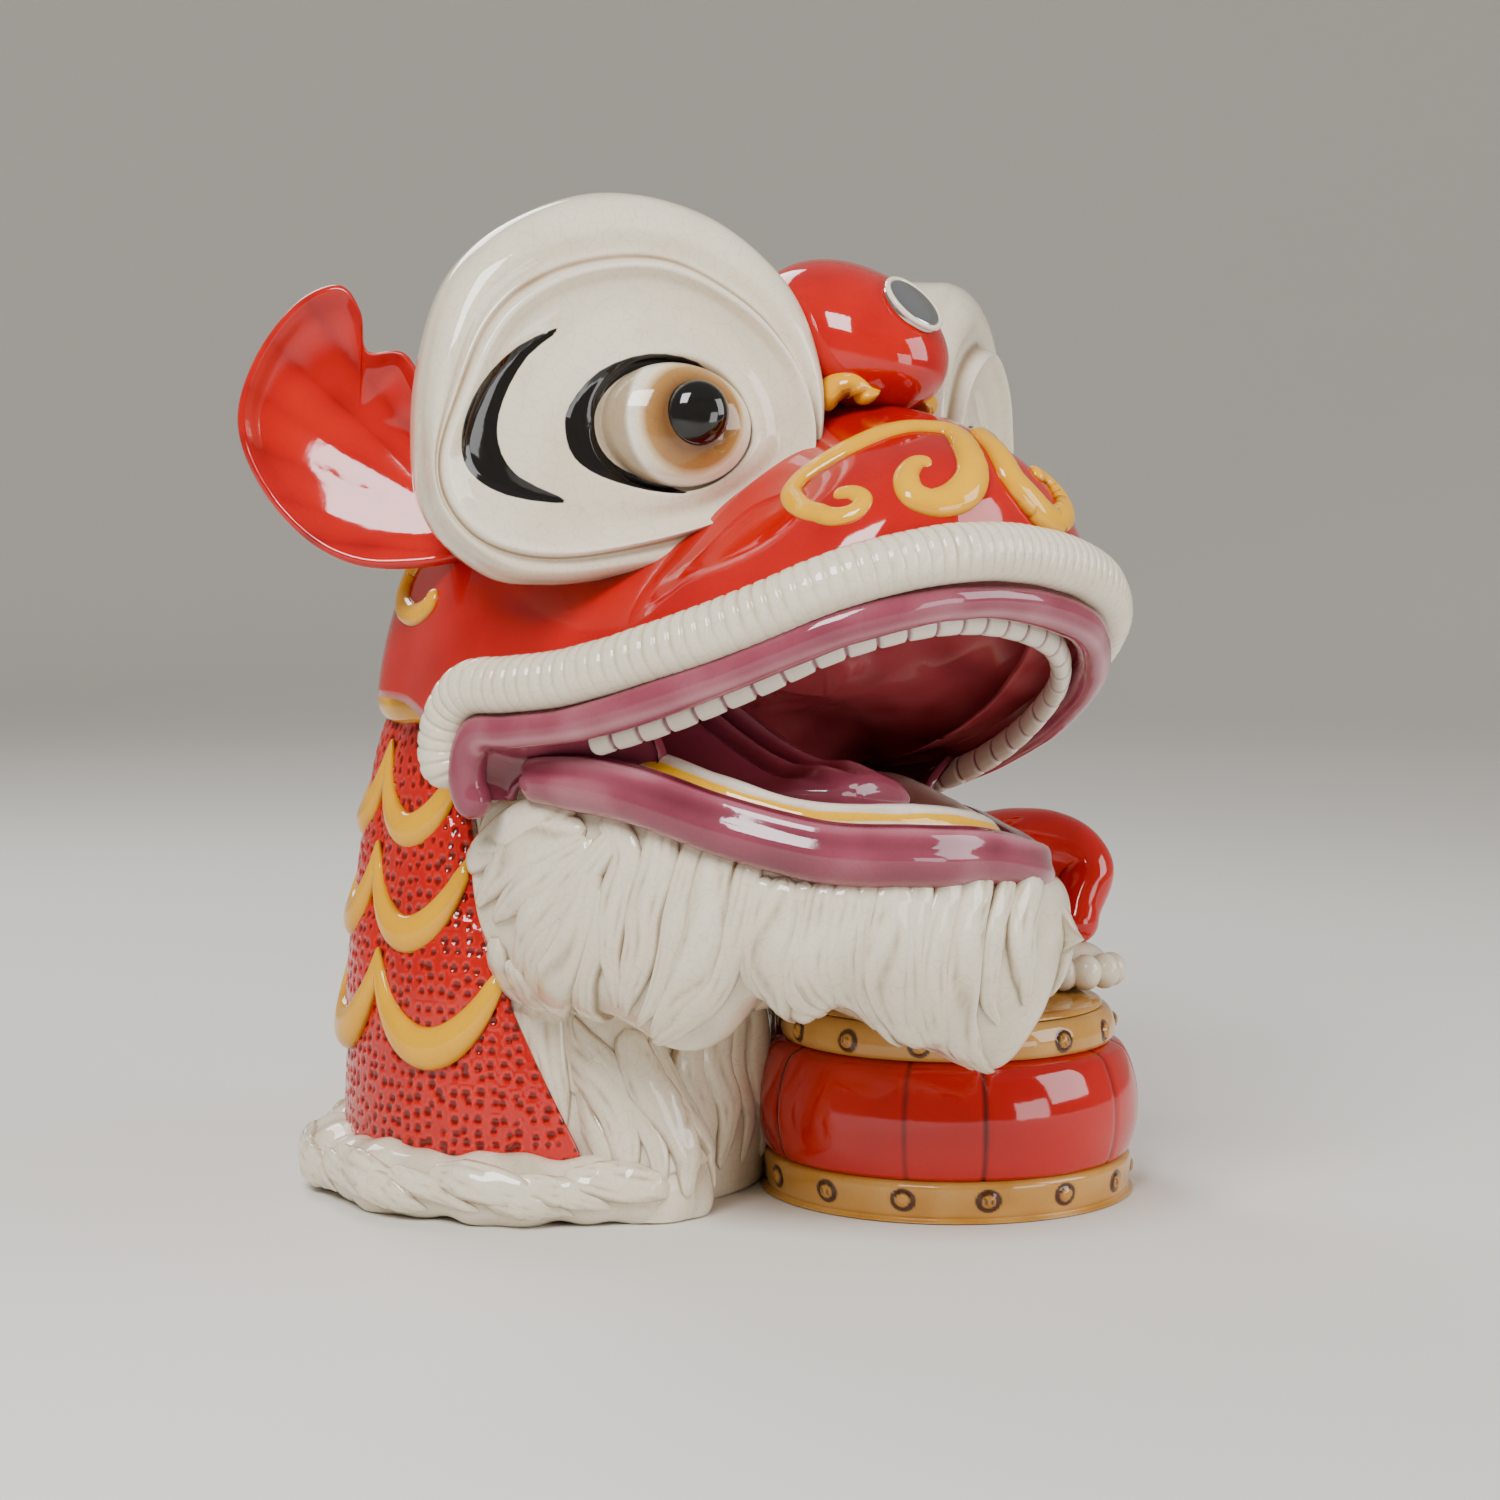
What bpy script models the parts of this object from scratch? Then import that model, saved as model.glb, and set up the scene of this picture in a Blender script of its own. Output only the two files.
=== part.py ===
# Lion dance figurine: one glazed ceramic casting of a lion with a big head, a scaled cape
# and its left paw on a drum. The lion faces -Y, its right side is -X and +Z is up.
import math

import bmesh
import bpy
import numpy as np
from mathutils import Matrix, Vector
from mathutils.bvhtree import BVHTree

MM = 0.001
GAP = 0.3 * MM
WELD = 0.002 * MM
FLAT_ANGLE = math.radians(2.0)
BODY_SIDES = 24
RIM_POINTS = 15

# Named sizes in millimetres.
BODY_HEIGHT = 124.0
BODY_WIDTH = 118.0
BODY_DEPTH = 112.0
BODY_Y = 48.0
CAPE_WALL = 4.0
CAST_WALL = 5.0
PALATE_WALL = 4.0
HEAD_LENGTH = 162.0
HEAD_BREADTH = 138.0
HEAD_HEIGHT = 97.0
HEAD_BASE = 104.0
HEAD_WIDTH = 0.95
HEAD_ROLL = math.radians(8.0)
HEAD_PIVOT_Z = 172.0
HEAD_SHIFT = (4.0, 2.0, -1.5)
LIP_SIZE = 6.9
MOUND_WIDTH = 98.0
MOUND_HEIGHT = 92.0
MOUND_DEPTH = 56.0
MOUND_CENTRE = (60.0, -38.0, 190.0)
MOUND_TURN = math.radians(29.0)
EYE_SIZE = 18.0
PUPIL_SIZE = 7.5
NOSE_LEAN = 8.0
NOSE_START = -78.0
NOSE_RUN = 20.0
HORN_SIZE = 26.0
HORN_CENTRE = (0.0, -44.0, 214.5)
HORN_TILT = math.radians(25.0)
MIRROR_SIZE = 7.6
EAR_LENGTH = 48.5
EAR_HEIGHT = 66.0
EAR_ROOT = (69.0, 26.0, 172.0)
EAR_TURN = math.radians(42.0)
DRUM_WIDTH = 96.8
DRUM_HEIGHT = 49.0
DRUM_CENTRE = (59.0, -30.0)
BEARD_DROP = 48.0
BEARD_LEVEL = 95.0
ARM_SIZE = 11.0
LEG_SIZE = 14.0
SCALE_SIZE = 4.0


def sized(rows, sizes, starts=()):
    """Rows of shares turned to lengths: each column times its size, from where it starts."""
    starts = tuple(starts) + (0.0,) * (len(sizes) - len(starts))
    return [tuple(share * size + start for share, size, start in zip(row, sizes, starts)) for row in rows]


# Body sections: height, half width, half depth.
BODY = sized([
    (0.0, 0.492, 0.491),
    (0.161, 0.5, 0.5),
    (0.444, 0.483, 0.473),
    (0.685, 0.449, 0.446),
    (0.871, 0.415, 0.411),
    (1.0, 0.373, 0.375),
], (BODY_HEIGHT, BODY_WIDTH, BODY_DEPTH))
# Front edge of the cape: height, angle from straight ahead in degrees.
CAPE_EDGE = sized([
    (0.137, 38.0),
    (0.403, 54.0),
    (0.685, 66.0),
    (0.984, 78.0),
], (BODY_HEIGHT, 1.0))
# Head sections from nose to nape: y, half width, lower height, upper height, peak, cheek share.
HEAD = sized([
    (-0.642, 0.101, 0.557, 0.639, 0.9, 0.0),
    (-0.623, 0.196, 0.526, 0.753, 0.9, 0.0),
    (-0.568, 0.304, 0.464, 0.856, 1.0, 0.1),
    (-0.463, 0.391, 0.361, 0.933, 1.2, 0.3),
    (-0.34, 0.449, 0.268, 0.974, 1.42, 0.42),
    (-0.204, 0.482, 0.196, 0.99, 1.45, 0.42),
    (-0.062, 0.5, 0.144, 1.0, 1.2, 0.4),
    (0.074, 0.504, 0.082, 0.99, 0.85, 0.3),
    (0.198, 0.471, 0.144, 0.928, 0.85, 0.0),
    (0.309, 0.428, 0.165, 0.794, 0.9, 0.0),
    (0.383, 0.304, 0.206, 0.608, 0.95, 0.0),
    (0.41, 0.167, 0.289, 0.474, 0.95, 0.0),
], (HEAD_LENGTH, HEAD_BREADTH, HEAD_HEIGHT, HEAD_HEIGHT, 1.0, 1.0), (0.0, 0.0, HEAD_BASE, HEAD_BASE))
# Right half of the upper mouth rim from the middle to the corner: x, y, z.
UPPER_RIM = sized([
    (0.0, -0.654, 0.546),
    (0.181, -0.639, 0.521),
    (0.326, -0.568, 0.443),
    (0.406, -0.463, 0.34),
    (0.46, -0.34, 0.247),
    (0.493, -0.204, 0.175),
    (0.511, -0.086, 0.144),
    (0.514, -0.025, 0.134),
    (0.507, 0.006, 0.082),
    (0.496, 0.012, 0.0),
    (0.478, -0.006, -0.072),
], (HEAD_BREADTH, HEAD_LENGTH, HEAD_HEIGHT), (0.0, 0.0, HEAD_BASE))
# Right half of the lower mouth rim from the middle to the corner: x, y, z, thickness.
LOWER_RIM = sized([
    (0.0, -0.605, -0.093, 0.928),
    (0.145, -0.586, -0.103, 0.957),
    (0.268, -0.512, -0.113, 1.0),
    (0.355, -0.383, -0.072, 1.0),
    (0.399, -0.235, -0.021, 0.928),
    (0.42, -0.111, -0.01, 0.841),
    (0.424, -0.043, -0.021, 0.696),
], (HEAD_BREADTH, HEAD_LENGTH, HEAD_HEIGHT, LIP_SIZE), (0.0, 0.0, HEAD_BASE))
# Mouth hollow: share of the rim's size, rise above the rims' mean, and how far the rims blend.
MOUTH_RINGS = sized([
    (0.86, -0.041, 0.0),
    (0.89, 0.031, 0.12),
    (0.92, 0.0, 0.5),
    (0.94, -0.062, 1.0),
    (0.9, 0.01, 1.0),
    (0.72, 0.072, 1.0),
    (0.45, 0.113, 1.0),
    (0.18, 0.134, 1.0),
], (1.0, HEAD_HEIGHT, 1.0))
# Tongue sections from tip to root: y, half width, lower height, upper height.
TONGUE = sized([
    (-0.42, 0.043, 0.0, 0.041),
    (-0.401, 0.101, -0.041, 0.082),
    (-0.358, 0.138, -0.072, 0.098),
    (-0.296, 0.156, -0.082, 0.093),
    (-0.185, 0.181, -0.082, 0.144),
    (-0.062, 0.188, -0.082, 0.237),
    (0.025, 0.174, -0.072, 0.278),
], (HEAD_LENGTH, HEAD_BREADTH, HEAD_HEIGHT, HEAD_HEIGHT), (0.0, 0.0, HEAD_BASE, HEAD_BASE))
# Eye mound sections: depth behind the dish, half width, half height, rise.
MOUND = sized([
    (0.054, 0.122, 0.098, -0.011),
    (0.045, 0.306, 0.239, -0.011),
    (-0.018, 0.418, 0.348, 0.0),
    (-0.009, 0.444, 0.38, 0.011),
    (0.071, 0.464, 0.413, 0.027),
    (0.089, 0.485, 0.462, 0.043),
    (0.25, 0.5, 0.5, 0.038),
    (0.536, 0.48, 0.489, 0.0),
    (0.821, 0.388, 0.413, -0.076),
    (1.0, 0.204, 0.228, -0.152),
], (MOUND_DEPTH, MOUND_WIDTH, MOUND_HEIGHT, MOUND_HEIGHT))
# Ear outline seen flat: distance out from its root, height above its root.
EAR = sized([
    (-0.289, -0.242),
    (0.165, -0.348),
    (0.515, -0.303),
    (0.825, -0.121),
    (1.0, 0.121),
    (0.948, 0.364),
    (0.763, 0.576),
    (0.557, 0.652),
    (0.433, 0.561),
    (0.381, 0.424),
    (0.186, 0.424),
    (0.0, 0.242),
    (-0.289, 0.061),
], (EAR_LENGTH, EAR_HEIGHT))
# Drum profile: radius and height, each from the top down.
DRUM_SHELL = sized([
    (0.426, 0.782),
    (0.465, 0.735),
    (0.493, 0.592),
    (0.5, 0.449),
    (0.493, 0.316),
    (0.473, 0.21),
], (DRUM_WIDTH, DRUM_HEIGHT))
DRUM_LOWER = sized([
    (0.469, 0.204),
    (0.482, 0.176),
    (0.48, 0.082),
    (0.448, 0.0),
], (DRUM_WIDTH, DRUM_HEIGHT))
DRUM_UPPER = sized([
    (0.409, 0.959),
    (0.428, 0.929),
    (0.439, 0.857),
    (0.43, 0.788),
], (DRUM_WIDTH, DRUM_HEIGHT))
DRUM_SKIN = sized([
    (0.37, 1.0),
    (0.397, 0.988),
    (0.404, 0.965),
], (DRUM_WIDTH, DRUM_HEIGHT))
# Where the beard meets the cape: x, y, z, thickness.
BEARD_END = sized([
    (0.406, 0.086, -0.041, 0.58),
], (HEAD_BREADTH, HEAD_LENGTH, HEAD_HEIGHT, LIP_SIZE), (0.0, 0.0, HEAD_BASE))
# Beard sections from the lip down: share of the lower rim, height below the lip, lock's share.
BEARD = sized([
    (0.86, 0.0, 0.0),
    (1.0, -0.083, 0.05),
    (1.05, -0.292, 0.3),
    (1.02, -0.521, 0.6),
    (0.92, -0.729, 0.9),
    (0.76, -0.854, 1.0),
    (0.45, -0.833, 0.6),
], (1.0, BEARD_DROP, 1.0))
# Beard locks round the jaw: angle from straight ahead in degrees, extra length.
BEARD_LOCKS = sized([
    (-180.0, 0.0),
    (-120.0, 0.0),
    (-104.0, 0.042),
    (-92.0, 0.125),
    (-78.0, 0.083),
    (-62.0, -0.167),
    (-48.0, -0.042),
    (-36.0, -0.167),
    (-20.0, 0.042),
    (-8.0, 0.083),
    (6.0, 0.188),
    (18.0, 0.25),
    (28.0, 0.083),
    (36.0, -0.042),
    (48.0, -0.042),
    (60.0, 0.042),
    (90.0, 0.0),
    (180.0, 0.0),
], (1.0, BEARD_DROP))
# Left arm from the shoulder to the wrist: x, y, z, thickness.
ARM = sized([
    (0.407, 0.107, 0.613, 1.0),
    (0.585, -0.098, 0.645, 0.955),
    (0.754, -0.295, 0.685, 0.873),
    (0.805, -0.402, 0.645, 0.691),
    (0.758, -0.424, 0.556, 0.527),
    (0.737, -0.429, 0.492, 0.527),
], (BODY_WIDTH, BODY_DEPTH, BODY_HEIGHT, ARM_SIZE))
# Right foreleg from the chest to the floor: x, y, z, thickness.
LEG = sized([
    (-0.212, 0.098, 0.597, 0.786),
    (-0.203, 0.062, 0.419, 0.75),
    (-0.174, 0.027, 0.242, 0.857),
    (-0.148, 0.009, 0.121, 1.107),
    (-0.144, 0.004, 0.008, 1.071),
], (BODY_WIDTH, BODY_DEPTH, BODY_HEIGHT, LEG_SIZE))
# Scallop rows on the cape, from the top: height of the tips, drop, first tip's angle, count, step, thickness.
SCALE_ROWS = sized([
    (0.911, 0.161, 72.0, 6.0, 36.0, 0.85),
    (0.71, 0.161, 68.0, 6.0, 37.33, 0.9),
    (0.5, 0.169, 57.0, 6.0, 41.0, 1.0),
], (BODY_HEIGHT, BODY_HEIGHT, 1.0, 1.0, 1.0, SCALE_SIZE))
# Ornament on the nose: x, y, z and half width of the ribbon.
NOSE_SCROLL = sized([
    (0.28, -0.486, 0.694, 1.4),
    (0.257, -0.514, 0.701, 1.6),
    (0.248, -0.535, 0.682, 1.7),
    (0.267, -0.531, 0.653, 1.8),
    (0.297, -0.501, 0.64, 1.9),
    (0.308, -0.452, 0.658, 2.0),
    (0.288, -0.411, 0.694, 2.1),
    (0.263, -0.404, 0.73, 2.2),
    (0.239, -0.416, 0.765, 2.4),
], (HEAD_BREADTH, HEAD_LENGTH, HEAD_HEIGHT, 1.0), (0.0, 0.0, HEAD_BASE))
NOSE_CURL = sized([
    (0.228, -0.423, 0.784, 2.5),
    (0.193, -0.445, 0.822, 2.6),
    (0.139, -0.469, 0.867, 2.5),
    (0.083, -0.499, 0.886, 2.3),
    (0.038, -0.531, 0.88, 2.5),
    (0.038, -0.576, 0.836, 2.9),
    (0.047, -0.606, 0.774, 3.1),
    (0.086, -0.615, 0.721, 3.1),
    (0.135, -0.605, 0.693, 2.6),
    (0.172, -0.585, 0.706, 2.6),
    (0.173, -0.564, 0.748, 2.2),
    (0.147, -0.559, 0.786, 1.8),
    (0.12, -0.574, 0.786, 1.5),
], (HEAD_BREADTH, HEAD_LENGTH, HEAD_HEIGHT, 1.0), (0.0, 0.0, HEAD_BASE))
HORN_CURL = sized([
    (0.108, -0.322, 0.93, 2.2),
    (0.113, -0.326, 0.965, 3.2),
    (0.104, -0.335, 0.993, 3.8),
    (0.088, -0.351, 1.003, 3.8),
    (0.073, -0.362, 0.981, 3.6),
    (0.074, -0.359, 0.952, 3.2),
], (HEAD_BREADTH, HEAD_LENGTH, HEAD_HEIGHT, 1.0), (0.0, 0.0, HEAD_BASE))
# Cheek ornament: x, y, z and half width of the ribbon.
CHEEK_CURL = sized([
    (0.409, 0.21, 0.567, 1.6),
    (0.42, 0.241, 0.541, 2.1),
    (0.428, 0.265, 0.495, 2.2),
    (0.431, 0.272, 0.443, 2.2),
    (0.438, 0.253, 0.387, 2.2),
    (0.46, 0.21, 0.366, 2.2),
    (0.475, 0.167, 0.392, 2.0),
    (0.471, 0.167, 0.433, 1.6),
], (HEAD_BREADTH, HEAD_LENGTH, HEAD_HEIGHT, 1.0), (0.0, 0.0, HEAD_BASE))

GLAZES = {
    "red_glaze": ((0.62, 0.014, 0.008), 0.08, 0.0),
    "cream_glaze": ((0.70, 0.66, 0.58), 0.10, 0.0),
    "yellow_glaze": ((0.84, 0.42, 0.01), 0.08, 0.0),
    "mauve_glaze": ((0.26, 0.08, 0.10), 0.10, 0.0),
    "palate_glaze": ((0.20, 0.03, 0.03), 0.15, 0.0),
    "tan_glaze": ((0.48, 0.25, 0.08), 0.15, 0.0),
    "black_glaze": ((0.008, 0.007, 0.006), 0.05, 0.0),
    "mirror_glass": ((0.62, 0.64, 0.66), 0.08, 1.0),
}


def clear_scene():
    for obj in list(bpy.data.objects):
        bpy.data.objects.remove(obj, do_unlink=True)


def new_collection(name, hidden=False):
    collection = bpy.data.collections.new(name)
    bpy.context.scene.collection.children.link(collection)
    collection.hide_render = hidden
    return collection


def make_glazes():
    made = {}
    for name, (colour, roughness, metallic) in GLAZES.items():
        material = bpy.data.materials.new(name)
        material.use_nodes = True
        shader = material.node_tree.nodes["Principled BSDF"]
        shader.inputs["Base Color"].default_value = (*colour, 1.0)
        shader.inputs["Roughness"].default_value = roughness
        shader.inputs["Metallic"].default_value = metallic
        made[name] = material
    return made


clear_scene()
PART = new_collection("lion_dance_figurine")
CUTTERS = new_collection("cutters", hidden=True)
GLAZE = make_glazes()
FORMS = {}
SETTLED = []


def smooth(rows, steps):
    """Rows of numbers joined by a smooth curve through each row."""
    rows = np.array(rows, float)
    padded = np.vstack([2 * rows[0] - rows[1], rows, 2 * rows[-1] - rows[-2]])
    out = []
    for i in range(len(rows) - 1):
        a, b, c, d = padded[i : i + 4]
        for k in range(steps):
            t = k / steps
            out.append(0.5 * (2 * b + (c - a) * t + (2 * a - 5 * b + 4 * c - d) * t * t
                              + (3 * b - a - 3 * c + d) * t ** 3))
    out.append(rows[-1])
    return np.array(out)


def at(table, key, column=1):
    """A column of a table, read between its rows."""
    table = np.array(table, float)
    return float(np.interp(key, table[:, 0], table[:, column]))


def whole_rim(half):
    """A mirrored rim from the right corner round the front to the left corner."""
    half = np.array(half, float)
    other = half[1:].copy()
    other[:, 0] *= -1
    return np.vstack([other[::-1], half])


def head_place():
    """Turns a point of the level head into its place on the figure."""
    pivot = Matrix.Translation((0, 0, HEAD_PIVOT_Z * MM))
    roll = pivot @ Matrix.Rotation(HEAD_ROLL, 4, "Y") @ pivot.inverted()
    return Matrix.Translation(Vector(HEAD_SHIFT) * MM) @ roll @ Matrix.Diagonal((HEAD_WIDTH, 1, 1, 1))


def add_solid(name, glaze, points, faces, head=False):
    mesh = bpy.data.meshes.new(name)
    mesh.from_pydata([tuple(point) for point in points], [], faces)
    work = bmesh.new()
    work.from_mesh(mesh)
    bmesh.ops.remove_doubles(work, verts=work.verts, dist=1e-4 * 100)
    bmesh.ops.recalc_face_normals(work, faces=work.faces)
    bmesh.ops.triangulate(work, faces=work.faces)
    work.to_mesh(mesh)
    work.free()
    mesh.transform(Matrix.Scale(MM, 4))
    if head:
        mesh.transform(head_place())
    obj = bpy.data.objects.new(name, mesh)
    PART.objects.link(obj)
    mesh.materials.append(GLAZE[glaze])
    mesh.shade_smooth()
    mesh.set_sharp_from_angle(angle=math.radians(40))
    FORMS[name] = obj
    return obj


def loft(name, glaze, rings, head=False, fan=True):
    """Closed solid through rings of the same number of points, each end closed by a fan or one flat face."""
    rings = [np.array(ring, float) for ring in rings]
    count = len(rings[0])
    points = np.vstack(rings + [[rings[0].mean(axis=0)], [rings[-1].mean(axis=0)]])
    top, bottom = len(points) - 2, len(points) - 1
    faces = [(top, (k + 1) % count, k) for k in range(count)] if fan else [tuple(range(count))[::-1]]
    for i in range(len(rings) - 1):
        for k in range(count):
            n = (k + 1) % count
            faces.append((i * count + k, i * count + n, (i + 1) * count + n, (i + 1) * count + k))
    last = (len(rings) - 1) * count
    if fan:
        faces += [(bottom, last + k, last + (k + 1) % count) for k in range(count)]
    else:
        faces.append(tuple(range(last, last + count)))
        points = points[:-2]
    return add_solid(name, glaze, points, faces, head)


def tube(name, glaze, rows, steps=3, head=False, sides=8):
    """Round bar through rows of x, y, z and radius."""
    line = smooth(rows, steps)
    curve = bpy.data.curves.new(name, "CURVE")
    curve.dimensions = "3D"
    curve.bevel_depth = 1.0
    curve.bevel_resolution = (sides - 4) // 2
    curve.use_fill_caps = True
    spline = curve.splines.new("POLY")
    spline.points.add(len(line) - 1)
    for point, row in zip(spline.points, line):
        point.co = (row[0], row[1], row[2], 1.0)
        point.radius = row[3]
    guide = bpy.data.objects.new(name + "_guide", curve)
    CUTTERS.objects.link(guide)
    mesh = bpy.data.meshes.new_from_object(guide.evaluated_get(bpy.context.evaluated_depsgraph_get()))
    points = [tuple(v.co) for v in mesh.vertices]
    faces = [tuple(p.vertices) for p in mesh.polygons]
    bpy.data.objects.remove(guide, do_unlink=True)
    bpy.data.meshes.remove(mesh)
    return add_solid(name, glaze, points, faces, head)


def turned(name, glaze, centre, profile, sides=24):
    """Solid turned round a vertical axis from rows of radius and height, top to bottom."""
    rings = []
    for radius, height in profile:
        angles = np.linspace(0, 2 * math.pi, sides, endpoint=False)
        rings.append(np.stack([centre[0] + radius * np.cos(angles), centre[1] + radius * np.sin(angles),
                               np.full(sides, height)], 1))
    return loft(name, glaze, rings)


def egg(name, glaze, centre, radii, turn=Matrix.Identity(3), head=False, rows=7, sides=14):
    rings = []
    for i in range(1, rows):
        a = math.pi * i / rows
        ring = []
        for k in range(sides):
            b = 2 * math.pi * k / sides
            local = Vector((radii[0] * math.sin(a) * math.cos(b), radii[1] * math.sin(a) * math.sin(b),
                            radii[2] * math.cos(a)))
            ring.append(Vector(centre) + turn @ local)
        rings.append(ring)
    return loft(name, glaze, rings, head)


def inflated(obj, distance):
    """Cutter: a copy of a form grown by a distance all round."""
    mesh = obj.data.copy()
    mesh.name = obj.name + "_grown"
    work = bmesh.new()
    work.from_mesh(mesh)
    work.normal_update()
    moves = [(v, v.normal * distance * v.calc_shell_factor()) for v in work.verts]
    for vertex, move in moves:
        vertex.co += move if move.length < 2 * distance else move.normalized() * 2 * distance
    work.to_mesh(mesh)
    work.free()
    copy = bpy.data.objects.new(mesh.name, mesh)
    copy.display_type = "WIRE"
    CUTTERS.objects.link(copy)
    return copy


def cut(obj, cutter):
    modifier = obj.modifiers.new("cut_" + cutter.name, "BOOLEAN")
    modifier.operation = "DIFFERENCE"
    modifier.solver = "EXACT"
    modifier.object = cutter


def tree(obj, distance=0.0):
    work = bmesh.new()
    work.from_mesh(obj.data)
    made = BVHTree.FromBMesh(work)
    work.free()
    return made


def meets(first, second):
    """Whether two forms cross, or one's first corner lies inside the other."""
    a, b = tree(first), tree(second)
    if a.overlap(b):
        return True
    point = second.data.vertices[0].co
    near, normal, _, _ = a.find_nearest(point)
    return near is not None and (point - near).dot(normal) < 0


def islands(work):
    """The separate shells of a mesh, as sets of corners, largest first."""
    left = set(work.verts)
    found = []
    while left:
        stack = [left.pop()]
        shell = set(stack)
        while stack:
            for edge in stack.pop().link_edges:
                for vertex in edge.verts:
                    if vertex in left:
                        left.discard(vertex)
                        shell.add(vertex)
                        stack.append(vertex)
        found.append(shell)
    return sorted(found, key=lambda shell: -spread_of(shell))


def spread_of(shell):
    places = np.array([vertex.co[:] for vertex in shell])
    return float(np.linalg.norm(places.max(axis=0) - places.min(axis=0)))


def settle(obj):
    """Keeps the cut result as the object's own mesh, without crumbs or needless flat corners."""
    graph = bpy.context.evaluated_depsgraph_get()
    mesh = bpy.data.meshes.new_from_object(obj.evaluated_get(graph))
    work = bmesh.new()
    work.from_mesh(mesh)
    bmesh.ops.remove_doubles(work, verts=work.verts, dist=WELD)
    for shell in islands(work)[1:]:
        bmesh.ops.delete(work, geom=list(shell), context="VERTS")
    bmesh.ops.dissolve_limit(work, angle_limit=FLAT_ANGLE, verts=work.verts, edges=work.edges)
    bmesh.ops.triangulate(work, faces=work.faces)
    work.to_mesh(mesh)
    work.free()
    mesh.shade_smooth()
    mesh.set_sharp_from_angle(angle=math.radians(40))
    SETTLED.append((obj, mesh))


def centre_origin():
    """Puts the settled meshes in place and sets the floor centre of the whole box at the origin."""
    for obj, mesh in SETTLED:
        obj.modifiers.clear()
        obj.data = mesh
    for cutter in list(CUTTERS.objects):
        bpy.data.objects.remove(cutter, do_unlink=True)
    places = np.array([vertex.co[:] for obj, mesh in SETTLED for vertex in mesh.vertices])
    low, high = places.min(axis=0), places.max(axis=0)
    shift = Matrix.Translation((-(low[0] + high[0]) / 2, -(low[1] + high[1]) / 2, -low[2]))
    for obj, mesh in SETTLED:
        mesh.transform(shift)
    print("origin moved by", [round(value / MM, 3) for value in shift.translation])


def body_ring(height, inset=0.0, sides=BODY_SIDES, squeeze=1.0):
    wide = (at(BODY, height, 1) - inset) * squeeze
    deep = (at(BODY, height, 2) - inset) * squeeze
    angles = np.linspace(0, 2 * math.pi, sides, endpoint=False)
    return np.stack([wide * np.sin(angles), BODY_Y - deep * np.cos(angles), np.full(sides, height)], 1)


def body_point(angle, height, outset=0.0):
    wide, deep = at(BODY, height, 1) + outset, at(BODY, height, 2) + outset
    a = math.radians(angle)
    return (wide * math.sin(a), BODY_Y - deep * math.cos(a), height)


def build_body():
    heights = [0.0, 20.0, 55.0, 85.0, 118.0]
    loft("chest", "cream_glaze", [body_ring(z, CAPE_WALL + 0.7) for z in heights])
    rings = []
    for z in (17.0, 35.0, 55.0, 85.0, 108.0, 118.0):
        edge = at(CAPE_EDGE, z)
        angles = np.linspace(edge, 360.0 - edge, 20)
        outer = [body_point(a, z) for a in angles]
        inner = [body_point(a, z, -CAPE_WALL) for a in angles[::-1]]
        rings.append(outer + inner)
    loft("cape", "red_glaze", rings, fan=False)
    for index, (tips, drop, first, count, step, thick) in enumerate(SCALE_ROWS, 1):
        rows = []
        for i in range(int(count) * 4 + 1):
            share = (i % 4) / 4
            a = first + (i / 4) * step
            z = tips - drop * math.sin(math.pi * share) ** 0.7
            size = thick * (0.65 + 0.45 * math.sin(math.pi * share))
            rows.append((*body_point(a, z, 0.3), size))
        tube(f"scale_row_{index}", "yellow_glaze", rows, 1, sides=6)
    rows = []
    for a in range(60, 301, 12):
        rows.append((*body_point(a, 123.5, 1.0), 5.0))
    tube("neck_roll", "yellow_glaze", rows, 1, sides=6)
    rows = []
    for i, a in enumerate(range(46, 347, 12)):
        rows.append((*body_point(a, 7.5, 1.5 + 1.2 * (i % 2)), 8.6))
    tube("base_fur", "cream_glaze", rows, 1, sides=6)
    tube("right_foreleg", "cream_glaze", LEG, 3)


def build_drum():
    turned("drum_body", "red_glaze", DRUM_CENTRE, DRUM_SHELL)
    turned("drum_lower_band", "tan_glaze", DRUM_CENTRE, DRUM_LOWER)
    turned("drum_upper_band", "tan_glaze", DRUM_CENTRE, DRUM_UPPER)
    turned("drum_skin", "tan_glaze", DRUM_CENTRE, DRUM_SKIN)
    tube("left_arm", "red_glaze", ARM, 2, sides=8)
    egg("left_paw", "cream_glaze", (86.5, -48.0, 55.0), (10.5, 11.5, 6.4))


def head_ring(y, wide, low, high, peak, cheek, sides=16):
    """Arch over the mouth: a rounded or pinched ridge, with a level cheek at a share of its height."""
    ring = []
    for k in range(sides + 1):
        a = math.pi * k / sides
        share = math.copysign(abs(math.cos(a)) ** 0.7, math.cos(a))
        ridge = max(1 - abs(share) ** (2 / peak), 0.0) ** (peak / 2)
        shelf = cheek * max(1 - abs(share) ** 8, 0.0) ** 0.5
        ring.append((wide * share, y, low + (high - low) * (ridge ** 6 + shelf ** 6) ** (1 / 6)))
    return ring


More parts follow.
